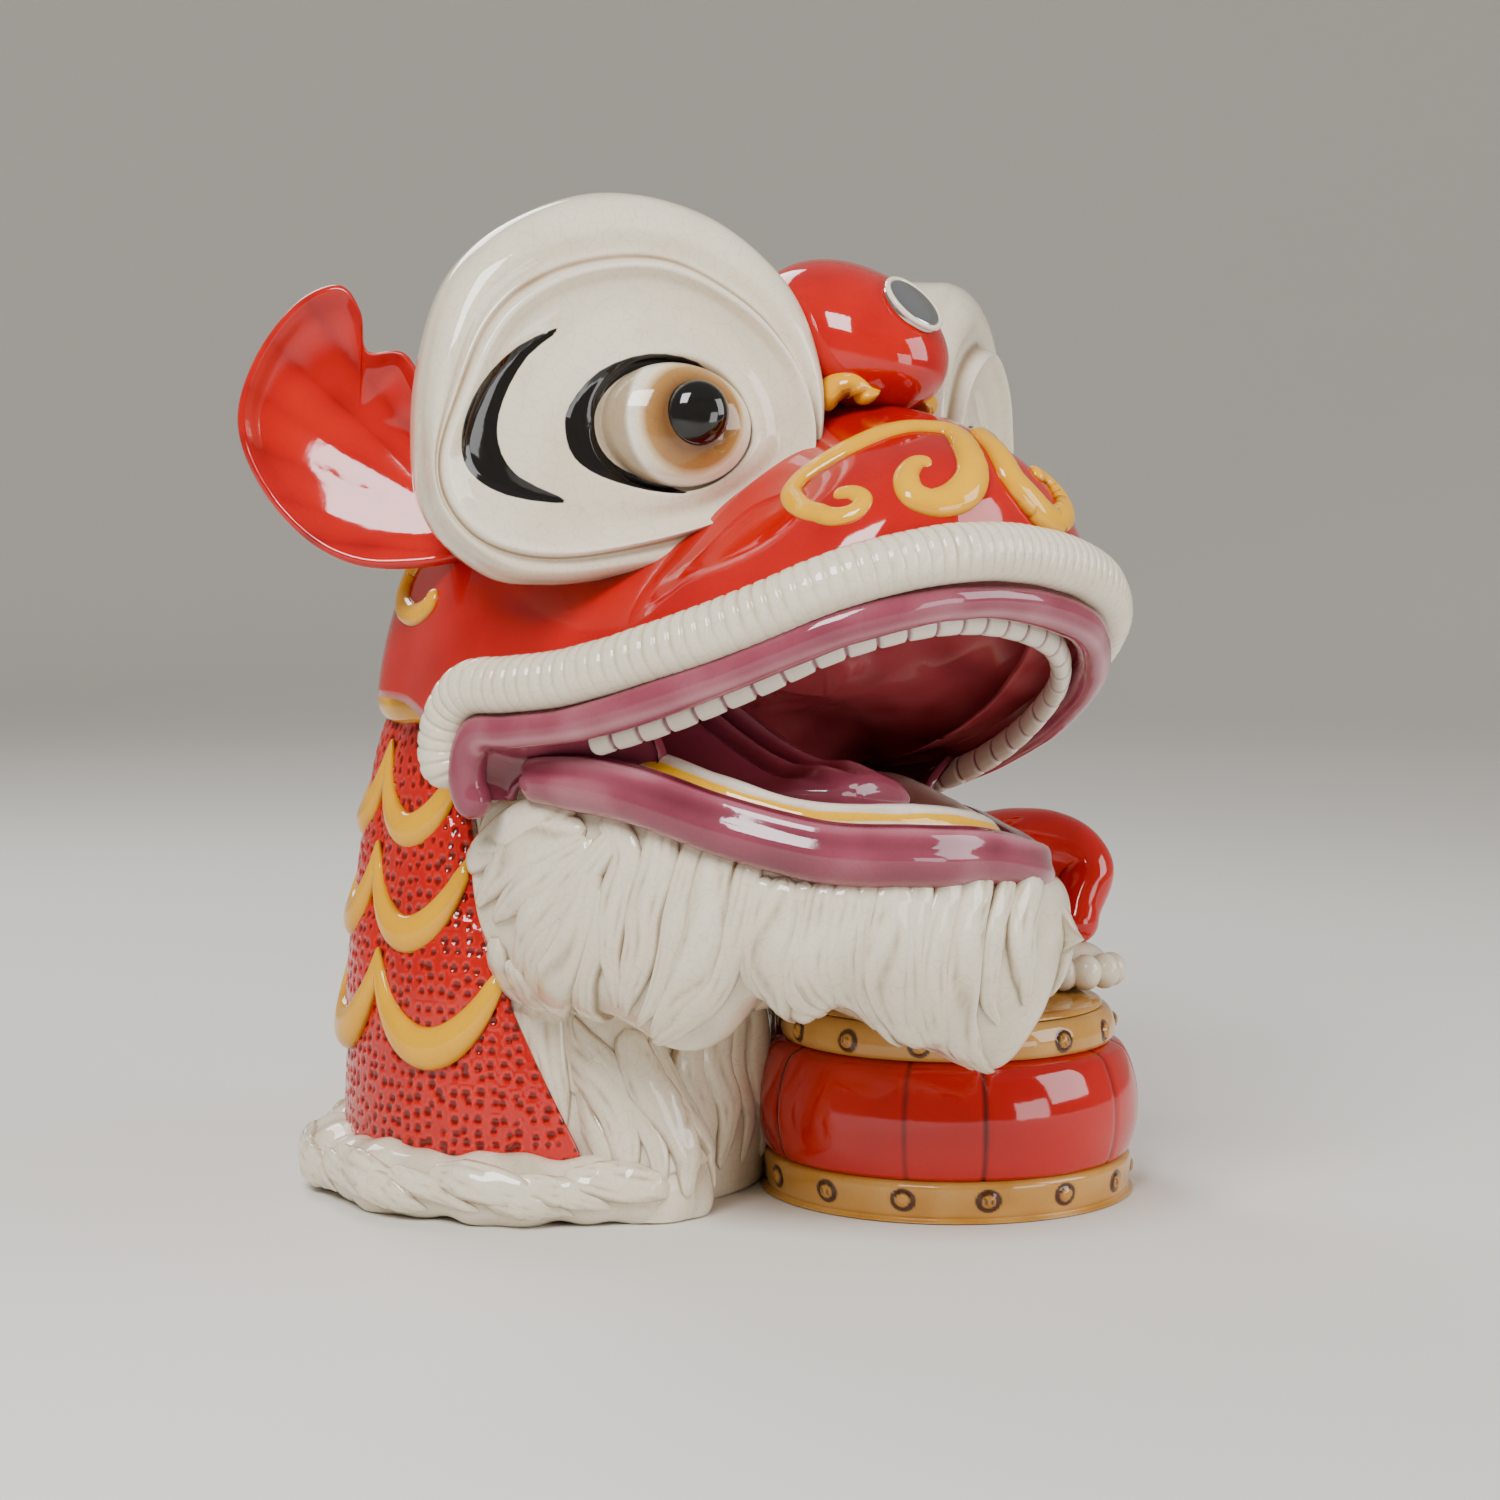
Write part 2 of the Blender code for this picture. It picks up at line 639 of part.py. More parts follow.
def build_head():
    loft("head_shell", "red_glaze", [head_ring(*row) for row in smooth(HEAD, 1)], head=True)
    rim = whole_rim(UPPER_RIM)
    out = rim.copy()
    out[:, :2] *= 1.005
    lip = [(x * 0.995, y * 0.995, z - 4.4, 4.4) for x, y, z in rim]
    tube("upper_lip", "mauve_glaze", lip, 1, head=True, sides=6)
    last = len(rim) - 1
    fringe = []
    for i, (x, y, z) in enumerate(rim):
        corner = min(i, last - i)
        rise = (2.0, 3.5, 4.6, 5.4, 5.8)[corner] if corner < 5 else 6.0
        back = (9.0, 8.0, 6.0, 3.5)[corner] if corner < 4 else 0.0
        fringe.append((x * 1.02, y * 1.01 + back, z + rise, 6.2))
    tube("lip_fringe", "cream_glaze", fringe, 1, head=True)
    teeth = [(x * 0.90, y * 0.93, z - 9.0, 3.4) for x, y, z in rim[4:-4]]
    tube("upper_teeth", "cream_glaze", teeth, 1, head=True, sides=6)
    low = whole_rim(LOWER_RIM)
    tube("lower_lip", "mauve_glaze", low, 1, head=True)
    gum = [(x * 0.86, y * 0.88, z + 6.0, 4.6) for x, y, z, _ in low]
    tube("lower_gum", "cream_glaze", gum, 1, head=True)
    rings = []
    for y, wide, bottom, top in TONGUE:
        angles = np.linspace(0, 2 * math.pi, 14, endpoint=False)
        middle, half = (bottom + top) / 2, (top - bottom) / 2
        rings.append([(wide * math.cos(a), y, middle + half * math.sin(a)) for a in angles])
    loft("tongue", "mauve_glaze", rings, head=True)


def mouth_rings():
    upper = smooth([row for row in whole_rim(UPPER_RIM)[3:-3]], 2)
    lower = smooth([row[:3] for row in whole_rim(LOWER_RIM)], 3)
    share = np.linspace(0, 1, RIM_POINTS)

    def spread(line):
        return np.stack([np.interp(share, np.linspace(0, 1, len(line)), line[:, c]) for c in range(3)], 1)

    upper, lower = spread(upper), spread(lower)
    middle = np.array([0.0, -42.0])
    rings = []
    for size, rise, blend in MOUTH_RINGS:
        line = lower * (1 - blend) + upper * blend
        line = line.copy()
        line[:, :2] = middle + (line[:, :2] - middle) * size
        line[:, 2] += rise
        first, last = line[0], line[-1]
        back = [last + (first - last) * t + np.array([0, 9.0 * math.sin(math.pi * t) * size, 0])
                for t in (0.25, 0.5, 0.75)]
        rings.append(np.vstack([line, back]))
    return rings


def build_mouth():
    rings = mouth_rings()
    inner = loft("mouth_hollow", "palate_glaze", rings, head=True)
    grown = []
    for index, ring in enumerate(rings[1:]):
        middle = ring.mean(axis=0)
        reach = np.linalg.norm(ring[:, :2] - middle[:2], axis=1).mean()
        moved = middle + (ring - middle) * (1 + PALATE_WALL / reach)
        moved[:, 2] = ring[:, 2] + (CAST_WALL if index > 2 else 0.0)
        if index < 3:
            front = slice(0, RIM_POINTS)
            moved[front, 2] = rings[4][front, 2] - 3.0 + index
        grown.append(moved)
    loft("palate", "palate_glaze", grown, head=True)
    del FORMS["mouth_hollow"]
    PART.objects.unlink(inner)
    CUTTERS.objects.link(inner)
    inner.display_type = "WIRE"
    return inner


def mound_axes(side):
    out = Vector((side * math.sin(MOUND_TURN), -math.cos(MOUND_TURN), 0.0))
    across = Vector((side * math.cos(MOUND_TURN), math.sin(MOUND_TURN), 0.0))
    return out, across


def build_eye(side, label):
    out, across = mound_axes(side)
    centre = Vector((side * MOUND_CENTRE[0], MOUND_CENTRE[1], MOUND_CENTRE[2]))
    rings = []
    for depth, wide, tall, rise in MOUND:
        ring = []
        for k in range(18):
            a = 2 * math.pi * k / 18
            ring.append(centre - out * depth + across * wide * math.cos(a)
                        + Vector((0, 0, rise + tall * math.sin(a))))
        rings.append(ring)
    loft(label + "_eye_mound", "cream_glaze", rings, head=True)
    turn = Matrix((across, Vector((0, 0, 1)), out)).transposed()
    eye = centre - across * 7.5 + Vector((0, 0, -4.4)) - out * 2.0
    egg(label + "_eyeball", "cream_glaze", eye, (EYE_SIZE, EYE_SIZE * 0.78, EYE_SIZE * 0.5), turn,
        head=True, rows=6, sides=14)
    pupil = eye - across * 2.6 + Vector((0, 0, 2.4)) + out * EYE_SIZE * 0.42
    egg(label + "_pupil", "black_glaze", pupil, (PUPIL_SIZE, PUPIL_SIZE, PUPIL_SIZE * 0.6), turn,
        head=True, rows=5, sides=12)


def build_horn():
    lean = Matrix.Rotation(HORN_TILT, 3, "X")
    radii = (HORN_SIZE * 0.88, HORN_SIZE, HORN_SIZE * 0.635)
    egg("horn", "red_glaze", HORN_CENTRE, radii, lean, head=True, rows=7, sides=16)
    tilt = Matrix.Rotation(HORN_TILT + math.radians(22.0), 3, "X")
    place = Vector(HORN_CENTRE) + Vector((0.0, -0.72, 0.26)) * HORN_SIZE
    egg("horn_mirror", "mirror_glass", place, (MIRROR_SIZE, MIRROR_SIZE, 2.0), tilt, head=True, rows=4,
        sides=16)


def build_ear(side, label):
    root = Vector((side * EAR_ROOT[0], EAR_ROOT[1], EAR_ROOT[2]))
    across = Vector((side * math.cos(EAR_TURN), math.sin(EAR_TURN), 0.0))
    out = Vector((side * math.sin(EAR_TURN), -math.cos(EAR_TURN), 0.0))
    line = np.array(EAR)
    line = np.vstack([line, (line[-1] + line[0]) / 2])
    middle = line.mean(axis=0)
    rings = []
    for size, depth in ((0.25, -2.5), (0.70, -1.0), (0.93, 3.0), (1.0, 1.0), (0.9, -5.5), (0.55, -11.0),
                        (0.2, -12.5)):
        flat = middle + (line - middle) * size
        rings.append([root + across * u + Vector((0, 0, v)) + out * (depth - 0.003 * u * u) for u, v in flat])
    loft(label + "_ear", "red_glaze", rings, head=True)


def centre_line(y):
    """How far the nose's middle line lies to the lion's right at a place along the head."""
    return -NOSE_LEAN * min(max((NOSE_START - y) / NOSE_RUN, 0.0), 1.0)


def surface_tube(name, glaze, rows, tree_of, on=True):
    """Bar laid on a surface: each row's x, y, z is moved to the nearest point of the surface."""
    placed = []
    for x, y, z, half in rows:
        point = head_place() @ (Vector((x, y, z)) * MM)
        if on:
            point = tree_of.find_nearest(point)[0]
        placed.append((*(point / MM), half))
    return tube(name, glaze, placed, 1, sides=6)


def build_curls():
    surface = tree(FORMS["head_shell"])
    for side, label in ((-1, "right"), (1, "left")):
        for name, rows in (("nose_scroll", NOSE_SCROLL), ("nose_curl", NOSE_CURL), ("horn_curl", HORN_CURL),
                           ("cheek_curl", CHEEK_CURL)):
            sided = [(centre_line(y) + side * x, y, z, half) for x, y, z, half in rows]
            surface_tube(f"{label}_{name}", "yellow_glaze", sided, surface, on=name != "horn_curl")


def build_beard():
    low = smooth(whole_rim(LOWER_RIM + BEARD_END), 1)
    place = head_place()
    middle = np.array([0.0, -38.0])
    rings = []
    for size, height, reach in BEARD:
        ring = []
        for x, y, z, _ in low:
            dx, dy = x - middle[0], y - middle[1]
            lip = (place @ (Vector((x, y, z)) * MM)).z / MM
            lip += (BEARD_LEVEL - lip) * reach ** 0.5
            lock = at(BEARD_LOCKS, math.degrees(math.atan2(dx, -dy)))
            ring.append((middle[0] + dx * size, middle[1] + dy * size, lip + height - lock * reach))
        for t in (0.25, 0.5, 0.75):
            x = ring[len(low) - 1][0] * (1 - t) + ring[0][0] * t
            z = ring[len(low) - 1][2] * (1 - t) + ring[0][2] * t
            ring.append((x, 20.0, z))
        rings.append(ring)
    loft("beard", "cream_glaze", rings)


def body_cavity():
    rings = [body_ring(z, CAPE_WALL + CAST_WALL, 24, squeeze) for z, squeeze in
             ((-6.0, 1.0), (20.0, 1.0), (60.0, 1.0), (85.0, 0.96), (98.0, 0.80), (106.0, 0.5))]
    cavity = loft("body_cavity", "cream_glaze", rings)
    del FORMS["body_cavity"]
    PART.objects.unlink(cavity)
    CUTTERS.objects.link(cavity)
    cavity.display_type = "WIRE"
    return cavity


build_body()
build_drum()
build_head()
hollow = build_mouth()
for SIDE, LABEL in ((-1, "right"), (1, "left")):
    build_eye(SIDE, LABEL)
    build_ear(SIDE, LABEL)
build_horn()
build_curls()
build_beard()
cavity = body_cavity()

# Where two forms cross, the later one in this list gives way to the earlier one.
ORDER = ["right_pupil", "left_pupil", "right_eyeball", "left_eyeball", "horn_mirror", "horn",
         "right_eye_mound", "left_eye_mound", "right_ear", "left_ear", "upper_lip", "lip_fringe",
         "upper_teeth", "lower_lip", "lower_gum", "tongue", "drum_skin", "drum_upper_band",
         "drum_lower_band", "drum_body", "left_paw", "left_arm", "palate", "head_shell",
         "right_nose_curl", "left_nose_curl", "right_nose_scroll", "left_nose_scroll",
         "right_horn_curl", "left_horn_curl", "right_cheek_curl", "left_cheek_curl", "neck_roll",
         "cape", "scale_row_1", "scale_row_2", "scale_row_3", "right_foreleg", "beard", "chest",
         "base_fur"]
GROWN = {name: inflated(FORMS[name], GAP) for name in ORDER}
for INDEX, NAME in enumerate(ORDER):
    for EARLIER in ORDER[:INDEX]:
        if meets(FORMS[EARLIER], FORMS[NAME]):
            cut(FORMS[NAME], GROWN[EARLIER])
for NAME in ("head_shell", "palate", "beard", "chest"):
    cut(FORMS[NAME], hollow)
cut(FORMS["chest"], cavity)
cut(FORMS["beard"], cavity)
for FORM in FORMS.values():
    settle(FORM)
centre_origin()
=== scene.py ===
import math
import bmesh
import bpy
import numpy as np
from mathutils import Matrix, Vector
from mathutils.bvhtree import BVHTree


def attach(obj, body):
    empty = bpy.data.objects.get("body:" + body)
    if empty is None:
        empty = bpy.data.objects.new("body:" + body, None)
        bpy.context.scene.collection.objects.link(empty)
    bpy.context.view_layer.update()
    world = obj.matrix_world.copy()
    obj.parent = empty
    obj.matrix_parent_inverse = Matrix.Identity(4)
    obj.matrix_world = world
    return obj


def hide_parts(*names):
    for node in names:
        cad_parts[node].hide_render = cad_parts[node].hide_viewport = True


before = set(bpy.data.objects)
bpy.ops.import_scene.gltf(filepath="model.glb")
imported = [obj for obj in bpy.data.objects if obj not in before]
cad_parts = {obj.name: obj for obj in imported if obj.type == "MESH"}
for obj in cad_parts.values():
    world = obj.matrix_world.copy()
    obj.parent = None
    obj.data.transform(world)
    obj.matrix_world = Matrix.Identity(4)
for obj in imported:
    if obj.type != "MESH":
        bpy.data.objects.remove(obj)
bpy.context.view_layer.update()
print("frame loaded")

mm = 0.001
# where the head sits on the body, and where the body sits on the floor, in mm
headSet = {"roll": 8.0, "pivotZ": 172.0, "shift": (4.0, 2.0, -1.5), "width": 0.95}
floorShift = np.array([-8.711, -1.733, 0.0])
bodyY = 48.0


# helpers for shapes
def toHead(points):
    p = np.array(points, float)
    roll = math.radians(headSet["roll"])
    x, y, z = p[..., 0] * headSet["width"], p[..., 1], p[..., 2] - headSet["pivotZ"]
    out = np.stack([x * math.cos(roll) + z * math.sin(roll), y,
                    -x * math.sin(roll) + z * math.cos(roll) + headSet["pivotZ"]], -1)
    return out + np.array(headSet["shift"])


def smoothRows(rows, steps, closed=False):
    rows = np.array(rows, float)
    if closed:
        padded = np.concatenate([rows[-1:], rows, rows[:2]])
        count = len(rows)
    else:
        padded = np.concatenate([2 * rows[:1] - rows[1:2], rows, 2 * rows[-1:] - rows[-2:-1]])
        count = len(rows) - 1
    out = []
    for i in range(count):
        a, b, c, d = padded[i : i + 4]
        for k in range(steps):
            t = k / steps
            out.append(0.5 * (2 * b + (c - a) * t + (2 * a - 5 * b + 4 * c - d) * t * t
                              + (3 * b - a - 3 * c + d) * t ** 3))
    if not closed:
        out.append(rows[-1])
    return np.array(out)


def around(count):
    # angles of a full turn, evenly spaced
    return np.linspace(0, 2 * math.pi, count, endpoint=False)


def evenly(rows, count):
    rows = np.array(rows, float)
    length = np.concatenate([[0], np.cumsum(np.linalg.norm(np.diff(rows[:, :3], axis=0), axis=1))])
    want = np.linspace(0, length[-1], count)
    return np.stack([np.interp(want, length, rows[:, c]) for c in range(rows.shape[1])], 1), length[-1]


def gridNormals(grid, wrap):
    along = np.gradient(grid, axis=0)
    if wrap:
        across = (np.roll(grid, -1, axis=1) - np.roll(grid, 1, axis=1)) / 2
    else:
        across = np.gradient(grid, axis=1)
    normal = np.cross(along, across)
    return normal / np.maximum(np.linalg.norm(normal, axis=-1, keepdims=True), 1e-9)


def hashed(ix, iy, iz, seed):
    n = (ix * 374761393 + iy * 668265263 + iz * 2147483647 + seed * 974634777) & 0xFFFFFFFF
    n = ((n ^ (n >> 13)) * 1274126177) & 0xFFFFFFFF
    return ((n ^ (n >> 16)) & 0xFFFF) / 65535.0


def noise(points, size, seed=1):
    p = np.array(points, float) / size
    base = np.floor(p).astype(np.int64)
    f = p - base
    f = f * f * (3 - 2 * f)
    total = 0
    for dx in (0, 1):
        for dy in (0, 1):
            for dz in (0, 1):
                weight = (np.where(dx, f[..., 0], 1 - f[..., 0]) * np.where(dy, f[..., 1], 1 - f[..., 1])
                          * np.where(dz, f[..., 2], 1 - f[..., 2]))
                total = total + weight * hashed(base[..., 0] + dx, base[..., 1] + dy, base[..., 2] + dz, seed)
    return total * 2 - 1


def signedDistance(t, v, outline):
    # distance in mm to a closed outline, positive inside it
    outline = np.array(outline, float)
    best = np.full(t.shape, 1e9)
    inside = np.zeros(t.shape, bool)
    for a, b in zip(outline, np.roll(outline, -1, axis=0)):
        e = b - a
        h = np.clip(((t - a[0]) * e[0] + (v - a[1]) * e[1]) / max(e @ e, 1e-9), 0, 1)
        best = np.minimum(best, np.hypot(t - a[0] - h * e[0], v - a[1] - h * e[1]))
        cross = (a[1] > v) != (b[1] > v)
        with np.errstate(divide="ignore", invalid="ignore"):
            x = (b[0] - a[0]) * (v - a[1]) / (b[1] - a[1] + 1e-12) + a[0]
        inside ^= cross & (t < x)
    return np.where(inside, best, -best)


def ridges(u, width, sharp):
    # rounded strands side by side: 1 on each strand's crest, 0 in each groove
    return np.abs(np.sin(math.pi * u / width)) ** sharp


def pitted(u, v, cell, radius, seed):
    # round pits: how deep each point is, and how near it is to a pit's rim
    deep, rim = np.zeros(u.shape), np.zeros(u.shape)
    iu, iv = np.floor(u / cell).astype(np.int64), np.floor(v / cell).astype(np.int64)
    for du in (-1, 0, 1):
        for dv in (-1, 0, 1):
            cu, cv = iu + du, iv + dv
            px = (cu + 0.22 + 0.56 * hashed(cu, cv, cu * 0, seed)) * cell
            py = (cv + 0.22 + 0.56 * hashed(cu, cv, cu * 0 + 3, seed)) * cell
            size = radius * (0.75 + 0.5 * hashed(cu, cv, cu * 0 + 7, seed))
            far = np.hypot(u - px, v - py) / size
            deep = np.maximum(deep, np.clip((1.12 - far) / 0.5, 0, 1))
            rim = np.maximum(rim, np.exp(-((far - 1.35) / 0.28) ** 2))
    return deep, rim * (1 - deep)


def meshPiece(name, points, faces, values=None):
    mesh = bpy.data.meshes.new(name)
    mesh.from_pydata((np.array(points) * mm).tolist(), [], faces)
    mesh.update()
    for key, value in (values or {}).items():
        layer = mesh.attributes.new(key, "FLOAT", "POINT")
        layer.data.foreach_set("value", np.array(value, np.float32).ravel())
    piece = bpy.data.objects.new(name, mesh)
    bpy.context.scene.collection.objects.link(piece)
    return piece


def outward(piece):
    work = bmesh.new()
    work.from_mesh(piece.data)
    bmesh.ops.remove_doubles(work, verts=work.verts, dist=0.00001)
    bmesh.ops.dissolve_degenerate(work, dist=0.000005, edges=work.edges)
    bmesh.ops.recalc_face_normals(work, faces=work.faces)
    work.to_mesh(piece.data)
    work.free()
    piece.data.shade_smooth()
    return piece


def skin(name, grid, values=None, wrap=True, ends=True):
    # closed skin over a grid of points in mm; rows run along it, columns round it
    rows, cols = grid.shape[:2]
    points = grid.reshape(-1, 3) + floorShift
    index = np.arange(rows * cols).reshape(rows, cols)
    a, b = index[:-1], index[1:]
    if wrap:
        quads = np.stack([a, np.roll(a, -1, 1), np.roll(b, -1, 1), b], -1).reshape(-1, 4)
    else:
        quads = np.stack([a[:, :-1], a[:, 1:], b[:, 1:], b[:, :-1]], -1).reshape(-1, 4)
    faces = quads.tolist()
    values = {key: np.array(value).reshape(-1) for key, value in (values or {}).items()}
    if ends and wrap:
        for row in (0, rows - 1):
            middle = len(points)
            points = np.vstack([points, points[index[row]].mean(axis=0)])
            for key in values:
                values[key] = np.append(values[key], values[key][index[row]].mean())
            for k in range(cols):
                faces.append([middle, int(index[row, k]), int(index[row, (k + 1) % cols])])
    return outward(meshPiece(name, points, faces, values))


def revolved(rows, b):
    # rows of radius and height, turned about the upright axis
    far, up = rows[:, 0][:, None], rows[:, 1][:, None]
    return np.stack([far * np.cos(b), far * np.sin(b), up * np.ones(b.shape)], -1)

def raised(grid, height, wrap=True, inside=None):
    normal = gridNormals(grid, wrap)
    middle = grid.reshape(-1, 3).mean(axis=0) if inside is None else np.array(inside)
    if ((grid - middle) * normal).sum() < 0:
        normal = -normal
    return grid + normal * np.array(height)[..., None]


def barGrid(path, radius, sides, flat, facing, roundEnds=(True, True)):
    # round bar along a path; facing gives the direction in which it may be flattened
    path = np.array(path, float)
    count = len(path)
    radius = np.array(radius, float) * np.ones(count)
    step = np.linalg.norm(np.gradient(path, axis=0), axis=1)
    along = np.gradient(path, axis=0) / step[:, None]
    facing = facing - (facing * along).sum(1, keepdims=True) * along
    facing /= np.maximum(np.linalg.norm(facing, axis=1, keepdims=True), 1e-9)
    side = np.cross(along, facing)
    far = np.concatenate([[0], np.cumsum(np.linalg.norm(np.diff(path, axis=0), axis=1))])
    shrink = np.ones(count)
    for end, near in ((0, far), (1, far[-1] - far)):
        if roundEnds[end]:
            t = np.clip(near / np.maximum(radius, 1e-6), 0, 1)
            shrink *= np.sqrt(np.clip(1 - (1 - t) ** 2, 0.0004, 1))
    radius = radius * shrink
    angle = around(sides)
    return (path[:, None] + radius[:, None, None] * (np.sin(angle)[None, :, None] * side[:, None]
            + flat * np.cos(angle)[None, :, None] * facing[:, None])), angle


def roundBar(grid, path, facing):
    # for each point of a bar: how far it faces outwards and upwards, from -1 to 1
    arm = grid - path[:, None, :3]
    arm = arm / np.maximum(np.linalg.norm(arm, axis=-1, keepdims=True), 1e-9)
    out = (arm * facing[:, None]).sum(-1)
    return out, arm[..., 2]


def addPiece(piece, nodes, material):
    piece.data.materials.clear()
    piece.data.materials.append(material)
    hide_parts(*nodes)
    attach(piece, "root")


# glazes
def linear(hexColour):
    value = [int(hexColour[i : i + 2], 16) / 255 for i in (1, 3, 5)]
    return [c / 12.92 if c <= 0.04045 else ((c + 0.055) / 1.055) ** 2.4 for c in value] + [1.0]


def addNode(tree, kind, settings=None, links=None):
    node = tree.nodes.new(kind)
    for key, value in (settings or {}).items():
        if isinstance(key, str) and hasattr(node, key):
            setattr(node, key, value)
        else:
            node.inputs[key].default_value = value
    for key, source in (links or {}).items():
        tree.links.new(source, node.inputs[key])
    return node


# size of a crazing cell in mm, width of its line, then the clear glaze over the colour
glazeSet = {"craze": 3.2, "crazeLine": 0.045, "roughness": 0.07, "ior": 1.52, "coat": 0.12,
            "coatRoughness": 0.03}


def glaze(name, body, pooled, wornEdgeAndHighlight, crazed, inks=(), roughness=glazeSet["roughness"], metallic=0.0):
    # glazed earthenware, dipped and fired: thin and pale on edges, dark where it pools in grooves
    material = bpy.data.materials.new(name)
    material.use_nodes = True
    tree = material.node_tree
    shader = tree.nodes["Principled BSDF"]
    place = addNode(tree, "ShaderNodeTexCoord").outputs["Object"]
    relief = addNode(tree, "ShaderNodeAttribute", {"attribute_name": "relief"}).outputs["Fac"]
    # scales are per metre: 55 is a cloud 18 mm wide, 90 a swell of 11 mm, 420 a grain of 2.4 mm
    cloud = addNode(tree, "ShaderNodeTexNoise", {"Scale": 55.0, "Detail": 3.0}, {"Vector": place})
    wavy = addNode(tree, "ShaderNodeMath", {"operation": "MULTIPLY_ADD", 1: 0.5, 2: -0.25},
                   {0: cloud.outputs["Fac"]})
    level = addNode(tree, "ShaderNodeMath", {"operation": "ADD"}, {0: relief, 1: wavy.outputs[0]})
    spread = addNode(tree, "ShaderNodeMapRange", {"From Min": -1.0, "From Max": 1.0},
                     {"Value": level.outputs[0]})
    ramp = addNode(tree, "ShaderNodeValToRGB", {}, {"Fac": spread.outputs[0]})
    ramp.color_ramp.elements[0].position = 0.12
    ramp.color_ramp.elements[0].color = linear(pooled)
    ramp.color_ramp.elements[1].position = 0.50
    ramp.color_ramp.elements[1].color = linear(body)
    # palest colour: thin glaze on worn edges; on the lips it also makes painted highlights
    top = ramp.color_ramp.elements.new(0.92)
    top.color = linear(wornEdgeAndHighlight)
    colour = ramp.outputs["Color"]
    for key, ink, width in inks:
        edge = addNode(tree, "ShaderNodeAttribute", {"attribute_name": key}).outputs["Fac"]
        mask = addNode(tree, "ShaderNodeMapRange", {"From Min": -width, "From Max": width}, {"Value": edge})
        mix = addNode(tree, "ShaderNodeMix", {"data_type": "RGBA"})
        tree.links.new(mask.outputs[0], mix.inputs["Factor"])
        tree.links.new(colour, mix.inputs[6])
        mix.inputs[7].default_value = linear(ink)
        colour = mix.outputs[2]
    if crazed:
        cells = {"feature": "DISTANCE_TO_EDGE", "Scale": 1000 / glazeSet["craze"]}
        net = addNode(tree, "ShaderNodeTexVoronoi", cells, {"Vector": place})
        fade = {"From Min": 0.0, "From Max": glazeSet["crazeLine"], "To Min": 1 - 0.25 * crazed,
                "To Max": 1.0}
        line = addNode(tree, "ShaderNodeMapRange", fade, {"Value": net.outputs["Distance"]})
        dim = addNode(tree, "ShaderNodeMix", {"data_type": "RGBA", "blend_type": "MULTIPLY"})
        dim.inputs["Factor"].default_value = 1.0
        tree.links.new(colour, dim.inputs[6])
        tree.links.new(line.outputs[0], dim.inputs[7])
        colour = dim.outputs[2]
    tree.links.new(colour, shader.inputs["Base Color"])
    grain = addNode(tree, "ShaderNodeTexNoise", {"Scale": 420.0, "Detail": 2.0}, {"Vector": place})
    swell = addNode(tree, "ShaderNodeTexNoise", {"Scale": 90.0, "Detail": 1.0}, {"Vector": place})
    both = addNode(tree, "ShaderNodeMath", {"operation": "MULTIPLY_ADD", 1: 0.25}, {0: grain.outputs["Fac"],
                                                                                   2: swell.outputs["Fac"]})
    bump = addNode(tree, "ShaderNodeBump", {"Strength": 0.10, "Distance": 0.0008},
                   {"Height": both.outputs[0]})
    tree.links.new(bump.outputs["Normal"], shader.inputs["Normal"])
    shader.inputs["Roughness"].default_value = roughness
    shader.inputs["Metallic"].default_value = metallic
    shader.inputs["Coat Weight"].default_value = glazeSet["coat"]
    shader.inputs["Coat Roughness"].default_value = glazeSet["coatRoughness"]
    if not metallic:  # a metal keeps the usual value
        shader.inputs["IOR"].default_value = glazeSet["ior"]
    return material


# clear glaze over buff clay, dipped: glossy, warm in the grooves, pale on worn edges, finely crazed
creamGlaze = glaze("creamEarthenwareGlaze", "#E2D6BE", "#94785A", "#F2E9D8", crazed=0.5)
# opaque glazes poured over the body: wet and strong, darker where they pool
redGlaze = glaze("redPouredGlaze", "#B40000", "#560000", "#D41804", crazed=0.2)
yellowGlaze = glaze("yellowPouredGlaze", "#DC9C00", "#8C4800", "#EEB000", crazed=0.2)
# glazes brushed on thinly: streaky, paler on the ridges
# on the lips the palest mauve also serves as a painted highlight along the edges
mauveGlaze = glaze("mauveBrushedGlaze", "#8A3E50", "#521824", "#B87A86", crazed=0.3)
palateGlaze = glaze("darkRedMouthGlaze", "#B84A52", "#74242A", "#D07074", crazed=0.2)
tanGlaze = glaze("tanBrushedGlaze", "#BC8436", "#48240C", "#DCB066", crazed=0.3)
# thick black glaze: deep, with sharp highlights
blackGlaze = glaze("blackPouredGlaze", "#0E0C0B", "#050404", "#1C1916", crazed=0.0)
# red glaze over stippled clay: it gathers darkly in each pit
pitRed = glaze("redStippledGlaze", "#B40000", "#6A0804", "#D82412", crazed=0.0)
# cream glaze painted before firing: crescents, iris, tooth seams and gum line with soft edges
inkCream = glaze("creamGlazeWithInk", "#E2D6BE", "#94785A", "#F2E9D8", crazed=0.5,
                 inks=(("inkA", "#100D0C", 0.12), ("inkB", "#100D0C", 0.12)))
irisCream = glaze("creamGlazeWithIris", "#E6DFD0", "#A28E72", "#F2EDE2", crazed=0.4,
                  inks=(("halo", "#E2CFA8", 1.2), ("iris", "#A07440", 0.9), ("deep", "#6C4826", 1.8)))
toothCream = glaze("creamGlazeWithMauveSeams", "#DCD3C2", "#A08A6C", "#F0E9DC", crazed=0.3,
                   inks=(("seam", "#9A6A74", 0.18),))
tongueGlaze = glaze("mauveTongueGlaze", "#9C4A5E", "#551C2C", "#C88E9A", crazed=0.2)
gumCream = glaze("creamGlazeWithYellowLine", "#E4DCCB", "#A08A6C", "#F2EDE2", crazed=0.4,
                 inks=(("line", "#E9AE10", 0.25),))
